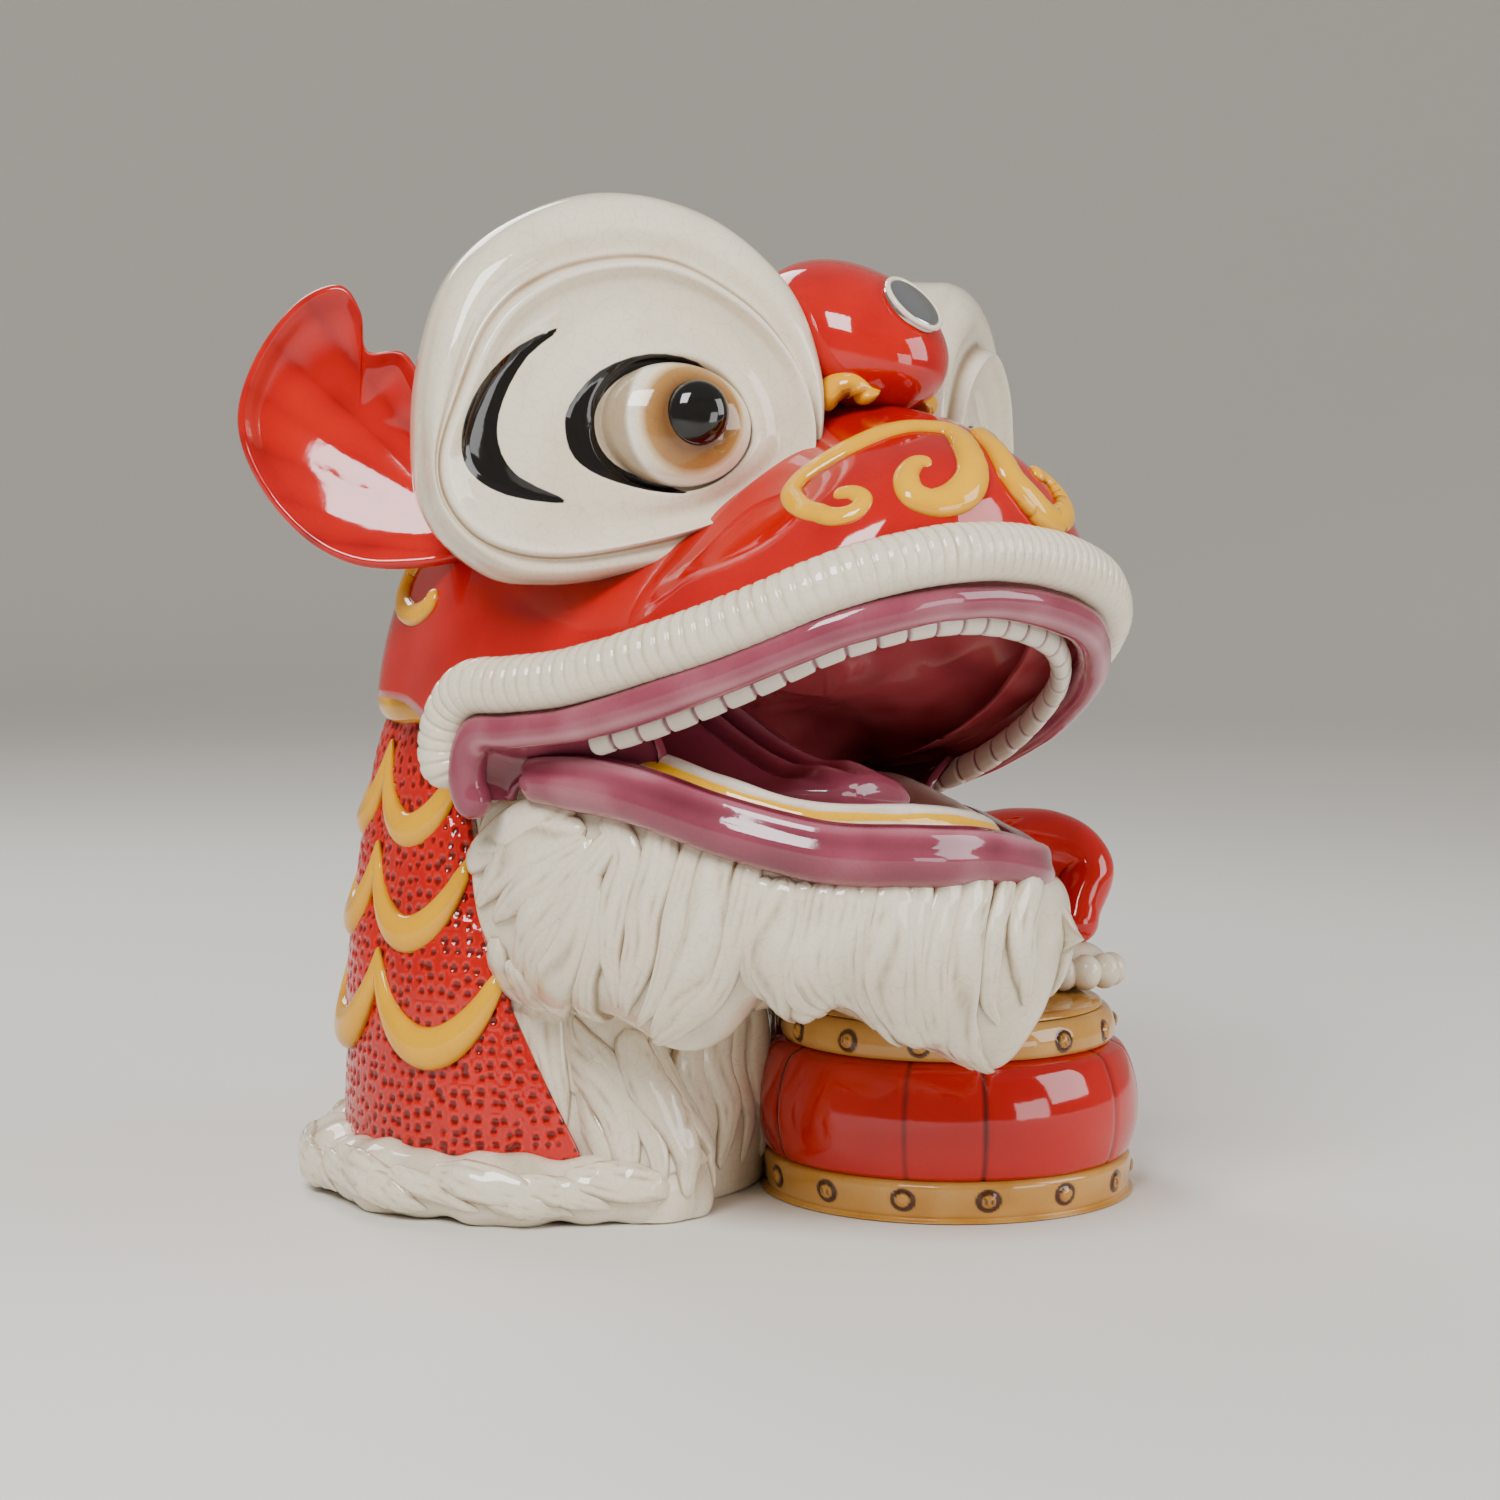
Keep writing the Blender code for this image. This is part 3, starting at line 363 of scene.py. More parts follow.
# silver lustre, fired on and polished: a grey mirror, slightly blurred
mirrorFace = glaze("silveredMirrorDisc", "#B9BEC2", "#8C9196", "#D0D4D8", crazed=0.0, roughness=0.12,
                   metallic=1.0)
print("glazes made")

# eye mounds
moundSet = {
    "centre": (60.0, -38.0, 190.0), "turn": 29.0, "sides": 176, "ringSteps": 7,
    "crest": [(47.6, -19.0), (44.6, -5.4), (37.5, 13.4), (24.1, 25.2), (5.6, 30.7), (-9.1, 29.0),
              (-24.6, 21.5),
              (-35.6, 10.3), (-41.0, -3.8), (-38.0, -13.0), (-22.0, -24.0), (-2.0, -32.0), (18.0, -37.0),
              (34.0, -36.0), (44.0, -29.0)],
    "edge": [(50.5, 9.3), (45.4, 25.7), (32.6, 38.2), (12.0, 46.5), (-12.4, 44.5), (-33.4, 32.0),
             (-43.5, 12.0),
             (-43.5, -8.5), (-38.0, -22.0), (-22.0, -33.0), (0.0, -39.0), (17.0, -42.5), (31.2, -41.8),
             (46.5, -30.0), (51.0, -10.0)],
    "outerInk": [(21.3, 14.3), (31.8, 8.5), (40.1, -1.5), (43.2, -12.0), (40.5, -20.6), (30.6, -25.0),
                 (15.9, -24.8), (28.7, -20.3), (34.2, -13.1), (34.0, -4.1), (29.2, 6.6)],
    "innerInk": [(-21.4, 4.0), (-11.1, 10.4), (1.0, 10.6), (12.3, 5.2), (18.6, -3.4), (19.0, -9.0),
                 (16.3, -14.8),
                 (9.5, -18.3), (-2.2, -20.0), (-11.8, -19.2), (3.0, -16.1), (9.4, -12.3), (11.9, -7.0),
                 (11.4, -2.0), (7.5, 3.7), (0.7, 7.8), (-9.0, 8.4)],
}


def polarRing(outline, centre, count):
    ring = smoothRows(outline, 12, closed=True) - np.array(centre)
    angle = np.unwrap(np.arctan2(ring[:, 1], ring[:, 0]))
    far = np.hypot(ring[:, 0], ring[:, 1])
    order = np.argsort(angle % (2 * math.pi))
    want = around(count)
    reach = np.interp(want, (angle % (2 * math.pi))[order], far[order], period=2 * math.pi)
    return np.stack([centre[0] + reach * np.cos(want), centre[1] + reach * np.sin(want)], 1)


def moundAxes(side):
    turn = math.radians(moundSet["turn"])
    out = np.array([side * math.sin(turn), -math.cos(turn), 0.0])
    across = np.array([side * math.cos(turn), math.sin(turn), 0.0])
    return out, across


def buildMound(side, label):
    out, across = moundAxes(side)
    middle, count = (2.0, -5.0), moundSet["sides"]
    crest = polarRing(moundSet["crest"], middle, count)
    edge = polarRing(moundSet["edge"], middle, count)
    angle = around(count)
    eye = np.stack([-7.0 + 17.5 * np.cos(angle), -4.5 + 14.0 * np.sin(angle)], 1)

    def ring(flat, depth):
        return np.concatenate([flat, np.full((count, 1), depth) if np.isscalar(depth) else depth[:, None]], 1)

    upper = np.clip(np.sin(angle) * 0.8 + 0.35, 0, 1)
    centre = np.array([2.0, -4.0])
    control = [ring(eye * 0.02 + np.array([-7.0, -4.5]) * 0.98, 3.5),
               ring(eye * 0.55 + np.array([-7.0, -4.5]) * 0.45, 3.5),
               ring(eye, 3.2), ring(eye * 0.9 + crest * 0.1, 0.8), ring(eye * 0.72 + crest * 0.28, 1.2),
               ring(eye * 0.45 + crest * 0.55, 2.4), ring(eye * 0.18 + crest * 0.82, 1.0),
               ring(eye * 0.03 + crest * 0.97, -1.8),
               ring(crest * 0.90 + edge * 0.10, 0.6 + 1.8 * upper),
               ring(crest * 0.76 + edge * 0.24, 1.0 + 2.6 * upper),
               ring(crest * 0.5 + edge * 0.5, 0.4 + 2.4 * upper),
               ring(crest * 0.22 + edge * 0.78, 1.5 + 3.4 * upper), ring(edge, 7.0 + 2.0 * upper),
               ring(centre + (edge - centre) * 1.015, 15.0), ring(centre + (edge - centre) * 0.97, 28.0),
               ring(centre + (edge - centre) * 0.80 + np.array([0, -5.0]), 45.0),
               ring(centre + (edge - centre) * 0.42 + np.array([0, -12.0]), 55.5),
               ring(centre + (edge - centre) * 0.03 + np.array([0, -13.0]), 57.0)]
    flat = smoothRows(np.array(control), moundSet["ringSteps"])
    t, v, depth = flat[..., 0], flat[..., 1], flat[..., 2]
    inkA = signedDistance(t, v, smoothRows(moundSet["outerInk"], 3, closed=True))
    inkB = signedDistance(t, v, smoothRows(moundSet["innerInk"], 3, closed=True))
    front = depth < 10.0
    inkA = np.where(front, inkA, -9.0)
    inkB = np.where(front, inkB, -9.0)
    groove = 0.9 * np.clip(inkA / 1.5, 0, 1) + 0.7 * np.clip(inkB / 1.2, 0, 1)
    depth = depth + groove
    grid = (np.array([side * moundSet["centre"][0], moundSet["centre"][1], moundSet["centre"][2]])
            + across * t[..., None] - out * depth[..., None] + np.array([0, 0, 1.0]) * v[..., None])
    grid = raised(grid, 0.25 * noise(grid, 14.0, 5))
    relief = np.zeros(t.shape)
    # darker in the folds and paler on the crests, ring by ring
    for place, value in ((8, -0.75), (7, 0.45), (2, -0.5), (3, 0.3), (12, -0.15)):
        row = place * moundSet["ringSteps"]
        relief += value * np.exp(-((np.arange(len(flat))[:, None] - row) / 2.6) ** 2)
    piece = skin(label + "EyeMound", toHead(grid), {"relief": relief, "inkA": inkA, "inkB": inkB})
    addPiece(piece, [label + "_eye_mound"], inkCream)


def buildEye(side, label):
    out, across = moundAxes(side)
    base = np.array([side * moundSet["centre"][0], moundSet["centre"][1], moundSet["centre"][2]])
    a = np.linspace(0.02, math.pi - 0.02, 60)[:, None]
    b = around(88)[None]
    t = 18.0 * np.sin(a) * np.cos(b)
    v = 14.04 * np.sin(a) * np.sin(b)
    d = 9.0 * np.cos(a) * np.ones(b.shape)
    grid = (base + across * (t - 7.5)[..., None] + np.array([0, 0, 1.0]) * (v - 4.4)[..., None]
            + out * (d - 2.0)[..., None])
    far = np.hypot(t + 1.9, v - 1.4)
    showing = d > 0
    piece = skin(label + "Eyeball", toHead(grid), {
        "relief": np.where(showing, 0.12 - 0.9 * np.clip(far - 15.0, 0, 1), -0.4),
        "halo": np.where(showing, 13.9 - far, -9), "iris": np.where(showing, 12.3 - far, -9),
        "deep": np.where(showing, 9.4 - far, -9)})
    addPiece(piece, [label + "_eyeball"], irisCream)
    a = np.linspace(0.02, math.pi - 0.02, 50)[:, None]
    t = 7.5 * np.sin(a) ** 0.85 * np.cos(b)
    v = 7.5 * np.sin(a) ** 0.85 * np.sin(b)
    d = 4.5 * np.cos(a) * np.ones(b.shape)
    grid = (base + across * (t - 10.1)[..., None] + np.array([0, 0, 1.0]) * (v - 2.0)[..., None]
            + out * (d + 5.56)[..., None])
    piece = skin(label + "Pupil", toHead(grid), {"relief": np.zeros(t.shape)})
    addPiece(piece, [label + "_pupil"], blackGlaze)


for side, label in ((-1, "right"), (1, "left")):
    buildMound(side, label)
    buildEye(side, label)
print("eyes made")

# head shell
shellSet = {
    # place from front to back, half width, lowest, highest, how sharp the ridge is, how full the cheek is
    "sections": [(-104.0, 14.0, 158.0, 166.0, 0.9, 0.0), (-101.0, 27.0, 155.0, 177.0, 0.9, 0.0),
                 (-92.0, 42.0, 149.0, 187.0, 1.0, 0.1), (-75.0, 54.0, 139.0, 194.5, 1.2, 0.3),
                 (-55.0, 62.0, 130.0, 198.5, 1.42, 0.42), (-33.0, 66.5, 123.0, 200.0, 1.45, 0.42),
                 (-10.0, 69.0, 118.0, 201.0, 1.2, 0.4), (12.0, 69.5, 112.0, 200.0, 0.85, 0.3),
                 (32.0, 65.0, 118.0, 194.0, 0.85, 0.0), (50.0, 59.0, 120.0, 181.0, 0.9, 0.0),
                 (62.0, 42.0, 124.0, 163.0, 0.95, 0.0), (66.5, 23.0, 132.0, 150.0, 0.95, 0.0)],
    "wall": 4.0,
}


def shellGrid(cols=140, steps=7):
    rows = smoothRows(shellSet["sections"], steps)
    a = np.linspace(0, math.pi, cols)[None]
    y, wide, low, high, peak, cheek = [rows[:, c][:, None] for c in range(6)]
    cosine = np.cos(a)
    share = np.sign(cosine) * np.abs(cosine) ** 0.7
    ridge = np.clip(1 - np.abs(share) ** (2 / peak), 0, 1) ** (peak / 2)
    shelf = np.clip(cheek, 0, 1) * np.clip(1 - np.abs(share) ** 8, 0, 1) ** 0.5
    z = low + (high - low) * (ridge ** 6 + shelf ** 6) ** (1 / 6)
    return np.stack([wide * share, y * np.ones(share.shape), z], -1)


def buildShell():
    grid = shellGrid()
    fixed = np.clip(grid[..., 2:3] - 150.0, 0, 20) / 20
    grid = grid * (1 - fixed) + fixed * raised(grid, 0.5 * noise(grid, 26.0, 3), wrap=False,
                                               inside=(0, -20, 120))
    piece = skin("headShellSkin", toHead(grid), {"relief": 0.15 * noise(grid, 9.0, 4)}, wrap=False)
    piece.select_set(True)
    wall = piece.modifiers.new("wall", "SOLIDIFY")
    wall.thickness = shellSet["wall"] * mm
    wall.offset = -1.0
    bpy.context.view_layer.objects.active = piece
    bpy.ops.object.modifier_apply(modifier="wall")
    piece.select_set(False)
    addPiece(piece, ["head_shell"], redGlaze)


bpy.ops.object.select_all(action="DESELECT")
buildShell()
print("head shell made")

# mouth
rimSet = {
    "upper": [(0.0, -106.0, 157.0), (25.0, -103.5, 154.5), (45.0, -92.0, 147.0), (56.0, -75.0, 137.0),
              (63.5, -55.0, 128.0), (68.0, -33.0, 121.0), (70.5, -14.0, 118.0), (71.0, -4.0, 117.0),
              (70.0, 1.0, 112.0), (68.5, 2.0, 104.0), (66.0, -1.0, 97.0)],
    "lower": [(0.0, -98.0, 95.0, 6.4), (20.0, -95.0, 94.0, 6.6), (37.0, -83.0, 93.0, 6.9),
              (49.0, -62.0, 97.0, 6.9), (55.0, -38.0, 102.0, 6.4), (58.0, -18.0, 103.0, 5.8),
              (58.5, -7.0, 102.0, 4.8)],
    "ribPitch": 3.5, "toothPitch": 7.4,
}


palateSet = {
    "wall": 2.0, "ringSteps": 6,
    # size, rise, and how far the ring has gone from the lower rim to the upper
    "rings": [(0.89, 3.0, 0.12), (0.92, 0.0, 0.5), (0.94, -6.0, 1.0), (0.90, 1.0, 1.0), (0.72, 7.0, 1.0),
              (0.45, 11.0, 1.0), (0.18, 13.0, 1.0)],
}


def wholeRim(half):
    half = np.array(half, float)
    other = half[1:].copy()
    other[:, 0] *= -1
    return np.vstack([other[::-1], half])


def outFacing(path, lift):
    away = path[:, :3] - np.array([0.0, -30.0, 0.0])
    away[:, 2] = 0
    away /= np.linalg.norm(away, axis=1, keepdims=True)
    away[:, 2] = lift
    return away / np.linalg.norm(away, axis=1, keepdims=True)


def buildFringe():
    rim = wholeRim(rimSet["upper"])
    last = len(rim) - 1
    rows = []
    for i, (x, y, z) in enumerate(rim):
        corner = min(i, last - i)
        rise = (2.0, 3.5, 4.6, 5.4, 5.8)[corner] if corner < 5 else 6.0
        behind = (9.0, 8.0, 6.0, 3.5)[corner] if corner < 4 else 0.0
        rows.append((x * 1.02, y * 1.01 + behind, z + rise))
    path, length = evenly(smoothRows(rows, 10), 940)
    grid, angle = barGrid(path, 6.7, 32, 0.96, outFacing(path, 0.8))
    along = np.linspace(0, length, len(path))[:, None]
    line = np.stack([along[:, 0], along[:, 0] * 0, along[:, 0] * 0], -1)
    pitch = rimSet["ribPitch"] * (0.82 + 0.18 * np.clip(np.abs(along / length - 0.5) * 5 - 0.3, 0, 1))
    turns = np.cumsum(np.gradient(along[:, 0])[:, None] / pitch, axis=0)
    turns = turns + 0.16 * noise(line, 7.0, 8)[:, None] + 0.05 * np.sin(angle)[None]
    crest = np.clip(np.abs(np.sin(math.pi * turns)) * 1.5, 0, 1) ** 0.9
    out, up = roundBar(grid, path, outFacing(path, 0.0))
    upper = np.clip(out * 1.6 + 0.5, 0, 1) * np.clip(up * 1.1 + 1.15, 0, 1)
    fade = np.clip(upper, 0, 1) * (0.75 + 0.35 * noise(line, 11.0, 18)[:, None])
    grid = raised(grid, (crest - 1.0) * 0.95 * fade + 0.15 * noise(grid, 7.0, 6))
    relief = (crest - 1.0) * 0.55 * fade + 0.12
    piece = skin("lipFringeBand", toHead(grid), {"relief": relief})
    addPiece(piece, ["lip_fringe"], creamGlaze)


def buildLips():
    rim = wholeRim(rimSet["upper"])
    path, length = evenly(smoothRows(rim * np.array([0.995, 0.995, 1.0]) - np.array([0, 0, 4.4]), 10), 300)
    along = np.linspace(0, length, len(path))
    facing = outFacing(path, 0.0)
    grid = barGrid(path, 4.7 + 0.2 * np.sin(along / 9.0), 42, 0.95, facing)[0]
    out, up = roundBar(grid, path, facing)
    fold = np.exp(-((up - 0.72) / 0.10) ** 2) * (out > 0)
    # pale line along the lower edge: thin glaze on the worn edge, and a painted highlight
    wornEdgeAndHighlight = np.exp(-((up + 0.72) / 0.16) ** 2) * (out > -0.2)
    height = -0.4 * fold + 0.15 * noise(grid, 7.0, 2)
    piece = skin("upperLipRoll", toHead(raised(grid, height)),
                 {"relief": 0.02 - 1.2 * fold + 0.55 * wornEdgeAndHighlight + 0.22 * noise(grid, 7.0, 9)})
    addPiece(piece, ["upper_lip"], mauveGlaze)
    low = smoothRows(wholeRim(rimSet["lower"]), 10)
    path, length = evenly(low, 300)
    along = np.linspace(0, length, len(path))
    facing = outFacing(path, 0.0)
    radius = path[:, 3] * 1.04 + 0.35 * np.sin(along / 14.0)
    grid = barGrid(path[:, :3], radius, 44, 1.02, facing)[0]
    out, up = roundBar(grid, path, facing)
    # the ridge along the top face is also painted paler: thin glaze on its crest, and a painted highlight
    ridge = np.exp(-((up - 0.74) / 0.12) ** 2) * (out > -0.1)
    crease = np.exp(-((up - 0.93) / 0.06) ** 2) * (out > -0.3)
    dent = np.exp(-((up - 0.32) / 0.22) ** 2) * (out > 0)
    height = 0.35 * noise(grid, 13.0, 12) + 0.6 * ridge - 0.3 * crease - 0.6 * dent
    piece = skin("lowerLipRoll", toHead(raised(grid, height)),
                 {"relief": 0.3 * noise(grid, 9.0, 31) + 0.45 * ridge - 0.5 * crease - 0.25 * dent})
    addPiece(piece, ["lower_lip"], mauveGlaze)
    rows = [(x * 0.86, y * 0.88, z + 6.0) for x, y, z, _ in wholeRim(rimSet["lower"])]
    path = evenly(smoothRows(rows, 10), 300)[0]
    facing = outFacing(path, 0.0)
    grid = barGrid(path, 4.9, 36, 1.0, facing)[0]
    out, up = roundBar(grid, path, facing)
    line = (0.20 - np.abs(up - 0.42)) * 4.9 + 0.25 * noise(grid, 9.0, 7)
    line = np.where(out > 0, line, -3.0)
    groove = np.exp(-((up - 0.70) / 0.06) ** 2) * (out > 0)
    piece = skin("lowerGumRoll", toHead(raised(grid, 0.2 * noise(grid, 5.0, 3) - 0.35 * groove)), {
        "relief": 0.2 * noise(grid, 5.0, 6) - 0.5 * groove + 0.1, "line": line})
    addPiece(piece, ["lower_gum"], gumCream)


def buildTeeth():
    rim = wholeRim(rimSet["upper"])[5:-5]
    rows = rim * np.array([0.90, 0.93, 1.0]) - np.array([0, 0, 9.0])
    path, length = evenly(smoothRows(rows, 10), 640)
    grid, angle = barGrid(path, 3.4, 24, 0.72, outFacing(path, 0.0))
    along = np.linspace(0, length, len(path))[:, None]
    slot = np.abs(np.sin(math.pi * along / rimSet["toothPitch"]))
    gap = np.clip(1 - slot / 0.3, 0, 1) ** 0.7
    grid = raised(grid, (-0.8 * gap + 0.15 * slot) * np.ones(len(angle))[None])
    piece = skin("upperTeethRow", toHead(grid), {
        "relief": 0.2 * np.ones(grid.shape[:2]) - 0.2 * gap,
        "seam": (gap - 0.45) * 0.6 * np.ones(len(angle))[None]})
    addPiece(piece, ["upper_teeth"], toothCream)


def buildTongue():
    rows = smoothRows([(-68.0, 6.0, 104.0, 108.0), (-67.2, 9.5, 102.0, 110.3), (-65.0, 14.0, 100.0, 112.0),
                       (-58.0, 19.0, 97.0, 113.5), (-48.0, 21.5, 96.0, 113.0), (-30.0, 25.0, 96.0, 118.0),
                       (-10.0, 26.0, 96.0, 127.0), (4.0, 24.0, 97.0, 131.0)], 16)
    b = around(90)[None]
    y, wide, low, high = [rows[:, c][:, None] for c in range(4)]
    x = wide * np.cos(b)
    grid = np.stack([x, y * np.ones(b.shape), (low + high) / 2 + (high - low) / 2 * np.sin(b)], -1)
    upper = np.clip(np.sin(b), 0, 1) ** 0.5
    sway = x + 1.5 * np.sin(y / 11.0)
    fade = np.clip((y + 66.0) / 12.0, 0, 1)
    deep = np.exp(-((sway + 5.0) / 2.2) ** 2) + 0.7 * np.exp(-((sway + 14.0) / 1.6) ** 2)
    deep = deep + 0.8 * np.exp(-((sway - 5.5) / 1.6) ** 2) + 0.6 * np.exp(-((sway - 14.0) / 1.6) ** 2)
    crest = np.exp(-((sway - 0.5) / 2.6) ** 2) + 0.6 * np.exp(-((sway + 9.5) / 2.4) ** 2)
    grid[..., 2] += upper * fade * (1.3 * crest - 2.0 * deep)
    piece = skin("tongueBody", toHead(grid), {"relief": upper * fade * (0.6 * crest - 0.9 * deep) - 0.1})
    addPiece(piece, ["tongue"], tongueGlaze)


def buildPalate():
    top = evenly(smoothRows(wholeRim(rimSet["upper"])[3:-3], 8), 120)[0]
    low = evenly(smoothRows(wholeRim(rimSet["lower"])[:, :3], 8), 120)[0]
    middle, steps = np.array([0.0, -42.0]), palateSet["ringSteps"]
    t = np.linspace(0, 1, 30)[1:-1]
    inner = []
    for size, rise, blend in smoothRows(palateSet["rings"], steps):
        line = low * (1 - blend) + top * blend
        line[:, :2] = middle + (line[:, :2] - middle) * size
        line[:, 2] += rise
        back = line[-1] + (line[0] - line[-1]) * t[:, None]
        back[:, 1] += 9.0 * np.sin(math.pi * t) * size
        inner.append(np.vstack([line, back]))
    inner = np.stack(inner)
    # the rows below the upper rim stay low at the throat only, so the mouth is open
    below = 2 * steps
    inner[:below, : len(top), 2] = inner[below + steps, : len(top), 2] - 3.0 + np.arange(below)[:,
                                                                                                None] / steps
    inner += gridNormals(inner, True) * 0.35 * noise(inner, 7.0, 5)[..., None]
    away = inner - inner.mean(axis=1, keepdims=True)
    away[..., 2] = 0
    outer = inner + away / np.linalg.norm(away, axis=2, keepdims=True) * palateSet["wall"]
    outer[..., 2] += palateSet["wall"] * np.linspace(0, 1, len(outer))[:, None]
    grid = np.concatenate([outer[::-1], inner])
    piece = skin("palateSkin", toHead(grid), {"relief": 0.4 * noise(grid, 8.0, 9)})
    addPiece(piece, ["palate"], palateGlaze)


def buildCorner(side, label):
    top = smoothRows([(57.0, -42.0, 119.0), (64.5, -29.0, 114.5), (69.0, -14.0, 111.0), (69.0, -4.0, 108.0),
                      (67.5, 0.0, 102.0), (65.0, -1.0, 97.0)], 8)
    low = smoothRows([(50.0, -42.0, 104.0), (54.0, -31.0, 104.5), (57.0, -20.0, 105.0), (58.0, -10.0, 104.0),
                      (59.0, -4.0, 101.0), (60.0, -2.0, 98.0)], 8)
    across = np.linspace(0, 1, 14)[None, :, None]
    face = top[:, None] * (1 - across) + low[:, None] * across
    face[..., 0] -= 3.5 * np.sin(math.pi * across[..., 0])
    back = face[:, ::-1] - np.array([3.0, 0.0, 0.0])
    grid = np.concatenate([face, back], 1) * np.array([side, 1.0, 1.0])
    piece = skin(label + "MouthCorner", toHead(grid), {"relief": 0.3 * noise(grid, 6.0, 3) - 0.15})
    addPiece(piece, ["upper_lip"], mauveGlaze)


buildFringe()
buildLips()
buildTeeth()
buildTongue()
for side, label in ((-1, "right"), (1, "left")):
    buildCorner(side, label)
buildPalate()
print("mouth made")

# horn, ears and curls
hornSet = {"centre": (0.0, -44.0, 214.5), "radii": (22.9, 26.0, 16.5), "tilt": 25.0, "mirrorTilt": 47.0}


def buildHorn():
    a = np.linspace(0.02, math.pi - 0.02, 60)[:, None]
    b = around(88)[None]
    rx, ry, rz = hornSet["radii"]
    grid = np.stack([rx * np.sin(a) * np.cos(b), ry * np.sin(a) * np.sin(b),
                     rz * np.cos(a) * np.ones(b.shape)], -1)
    grid = grid @ np.array(Matrix.Rotation(math.radians(hornSet["tilt"]), 3,
                                           "X")).T + np.array(hornSet["centre"])
    piece = skin("hornKnob", toHead(raised(grid, 0.3 * noise(grid, 16.0, 4))), {
        "relief": 0.2 * noise(grid, 8.0, 6) - 0.4 * np.clip(-np.cos(a) - 0.7, 0, 1)})
    addPiece(piece, ["horn"], redGlaze)
    tilt = np.array(Matrix.Rotation(math.radians(hornSet["mirrorTilt"]), 3, "X"))
    place = np.array(hornSet["centre"]) + np.array([0, -0.72, 0.26]) * 26.0
    rows = [(0.02, 1.3), (4.0, 1.25), (6.6, 1.05), (7.4, 0.6), (7.5, 0.0), (7.3, -2.0), (0.02, -2.2)]
    rows = smoothRows(rows, 6)
    grid = revolved(rows, b) @ tilt.T + place
    piece = skin("mirrorDisc", toHead(grid), {"relief": np.zeros(grid.shape[:2])})
    addPiece(piece, ["horn_mirror"], mirrorFace)
    rim = np.stack([np.cos(b[0]) * 7.9, np.sin(b[0]) * 7.9, b[0] * 0 + 0.3], -1) @ tilt.T + place
    ring = np.stack([rim + 0.7 * (np.cos(k) * (rim - place) / 7.9 + np.sin(k) * (tilt @ np.array([0, 0,
                                                                                                  1.0])))
                     for k in around(12)], 0)
    rows, cols = ring.shape[:2]
    index = np.arange(rows * cols).reshape(rows, cols)
    quads = np.stack([index, np.roll(index, -1, 1), np.roll(np.roll(index, -1, 1), -1, 0),
                      np.roll(index, -1, 0)], -1)
    collar = outward(meshPiece("mirrorCollar", toHead(ring).reshape(-1, 3) + floorShift,
                               quads.reshape(-1, 4).tolist(),
                               {"relief": np.full(rows * cols, 0.2)}))
    addPiece(collar, ["horn_mirror"], creamGlaze)


earSet = {
    "outline": [(-14.0, -16.0), (8.0, -23.0), (25.0, -20.0), (40.0, -8.0), (48.5, 8.0), (46.0, 24.0),
                (37.0, 38.0),
                (27.0, 43.0), (21.0, 37.0), (18.5, 28.0), (9.0, 28.0), (0.0, 16.0), (-14.0, 4.0)],
    "root": (69.0, 26.0, 172.0), "turn": 42.0, "ringSteps": 6,
}


def buildEar(side, label):
    turn = math.radians(earSet["turn"])
    root = np.array([side * earSet["root"][0], earSet["root"][1], earSet["root"][2]])
    across = np.array([side * math.cos(turn), math.sin(turn), 0.0])
    out = np.array([side * math.sin(turn), -math.cos(turn), 0.0])
    line = smoothRows(earSet["outline"], 9, closed=True)
    middle = line.mean(axis=0)
    control = []
    for size, depth in ((0.02, -5.0), (0.25, -4.8), (0.55, -3.0), (0.78, -0.4), (0.90, 2.4), (0.96, 3.6),
                        (1.0, 2.4),
                        (0.99, -0.5), (0.9, -5.5), (0.55, -11.0), (0.2, -12.5), (0.02, -12.8)):
        flat = middle + (line - middle) * size
        control.append(np.concatenate([flat, np.full((len(flat), 1), depth)], 1))
    flat = smoothRows(np.array(control), earSet["ringSteps"])
    u, v, depth = flat[..., 0], flat[..., 1], flat[..., 2] - 0.003 * flat[..., 0] ** 2
    front = np.arange(len(flat))[:, None] < 6 * earSet["ringSteps"]  # the hollow side
    streak = ridges(np.degrees(np.arctan2(v + 18.0, u + 22.0)), 9.0, 0.6)
    depth = depth + np.where(front, 0.2 * (streak - 0.5), 0.0)
    grid = root + across * u[..., None] + np.array([0, 0, 1.0]) * v[..., None] + out * depth[..., None]
    relief = np.where(front, 0.35 * (streak - 0.5), 0.1) + 0.3 * noise(grid, 9.0, 3)
    piece = skin(label + "EarLeaf", toHead(grid), {"relief": relief})
    addPiece(piece, [label + "_ear"], redGlaze)


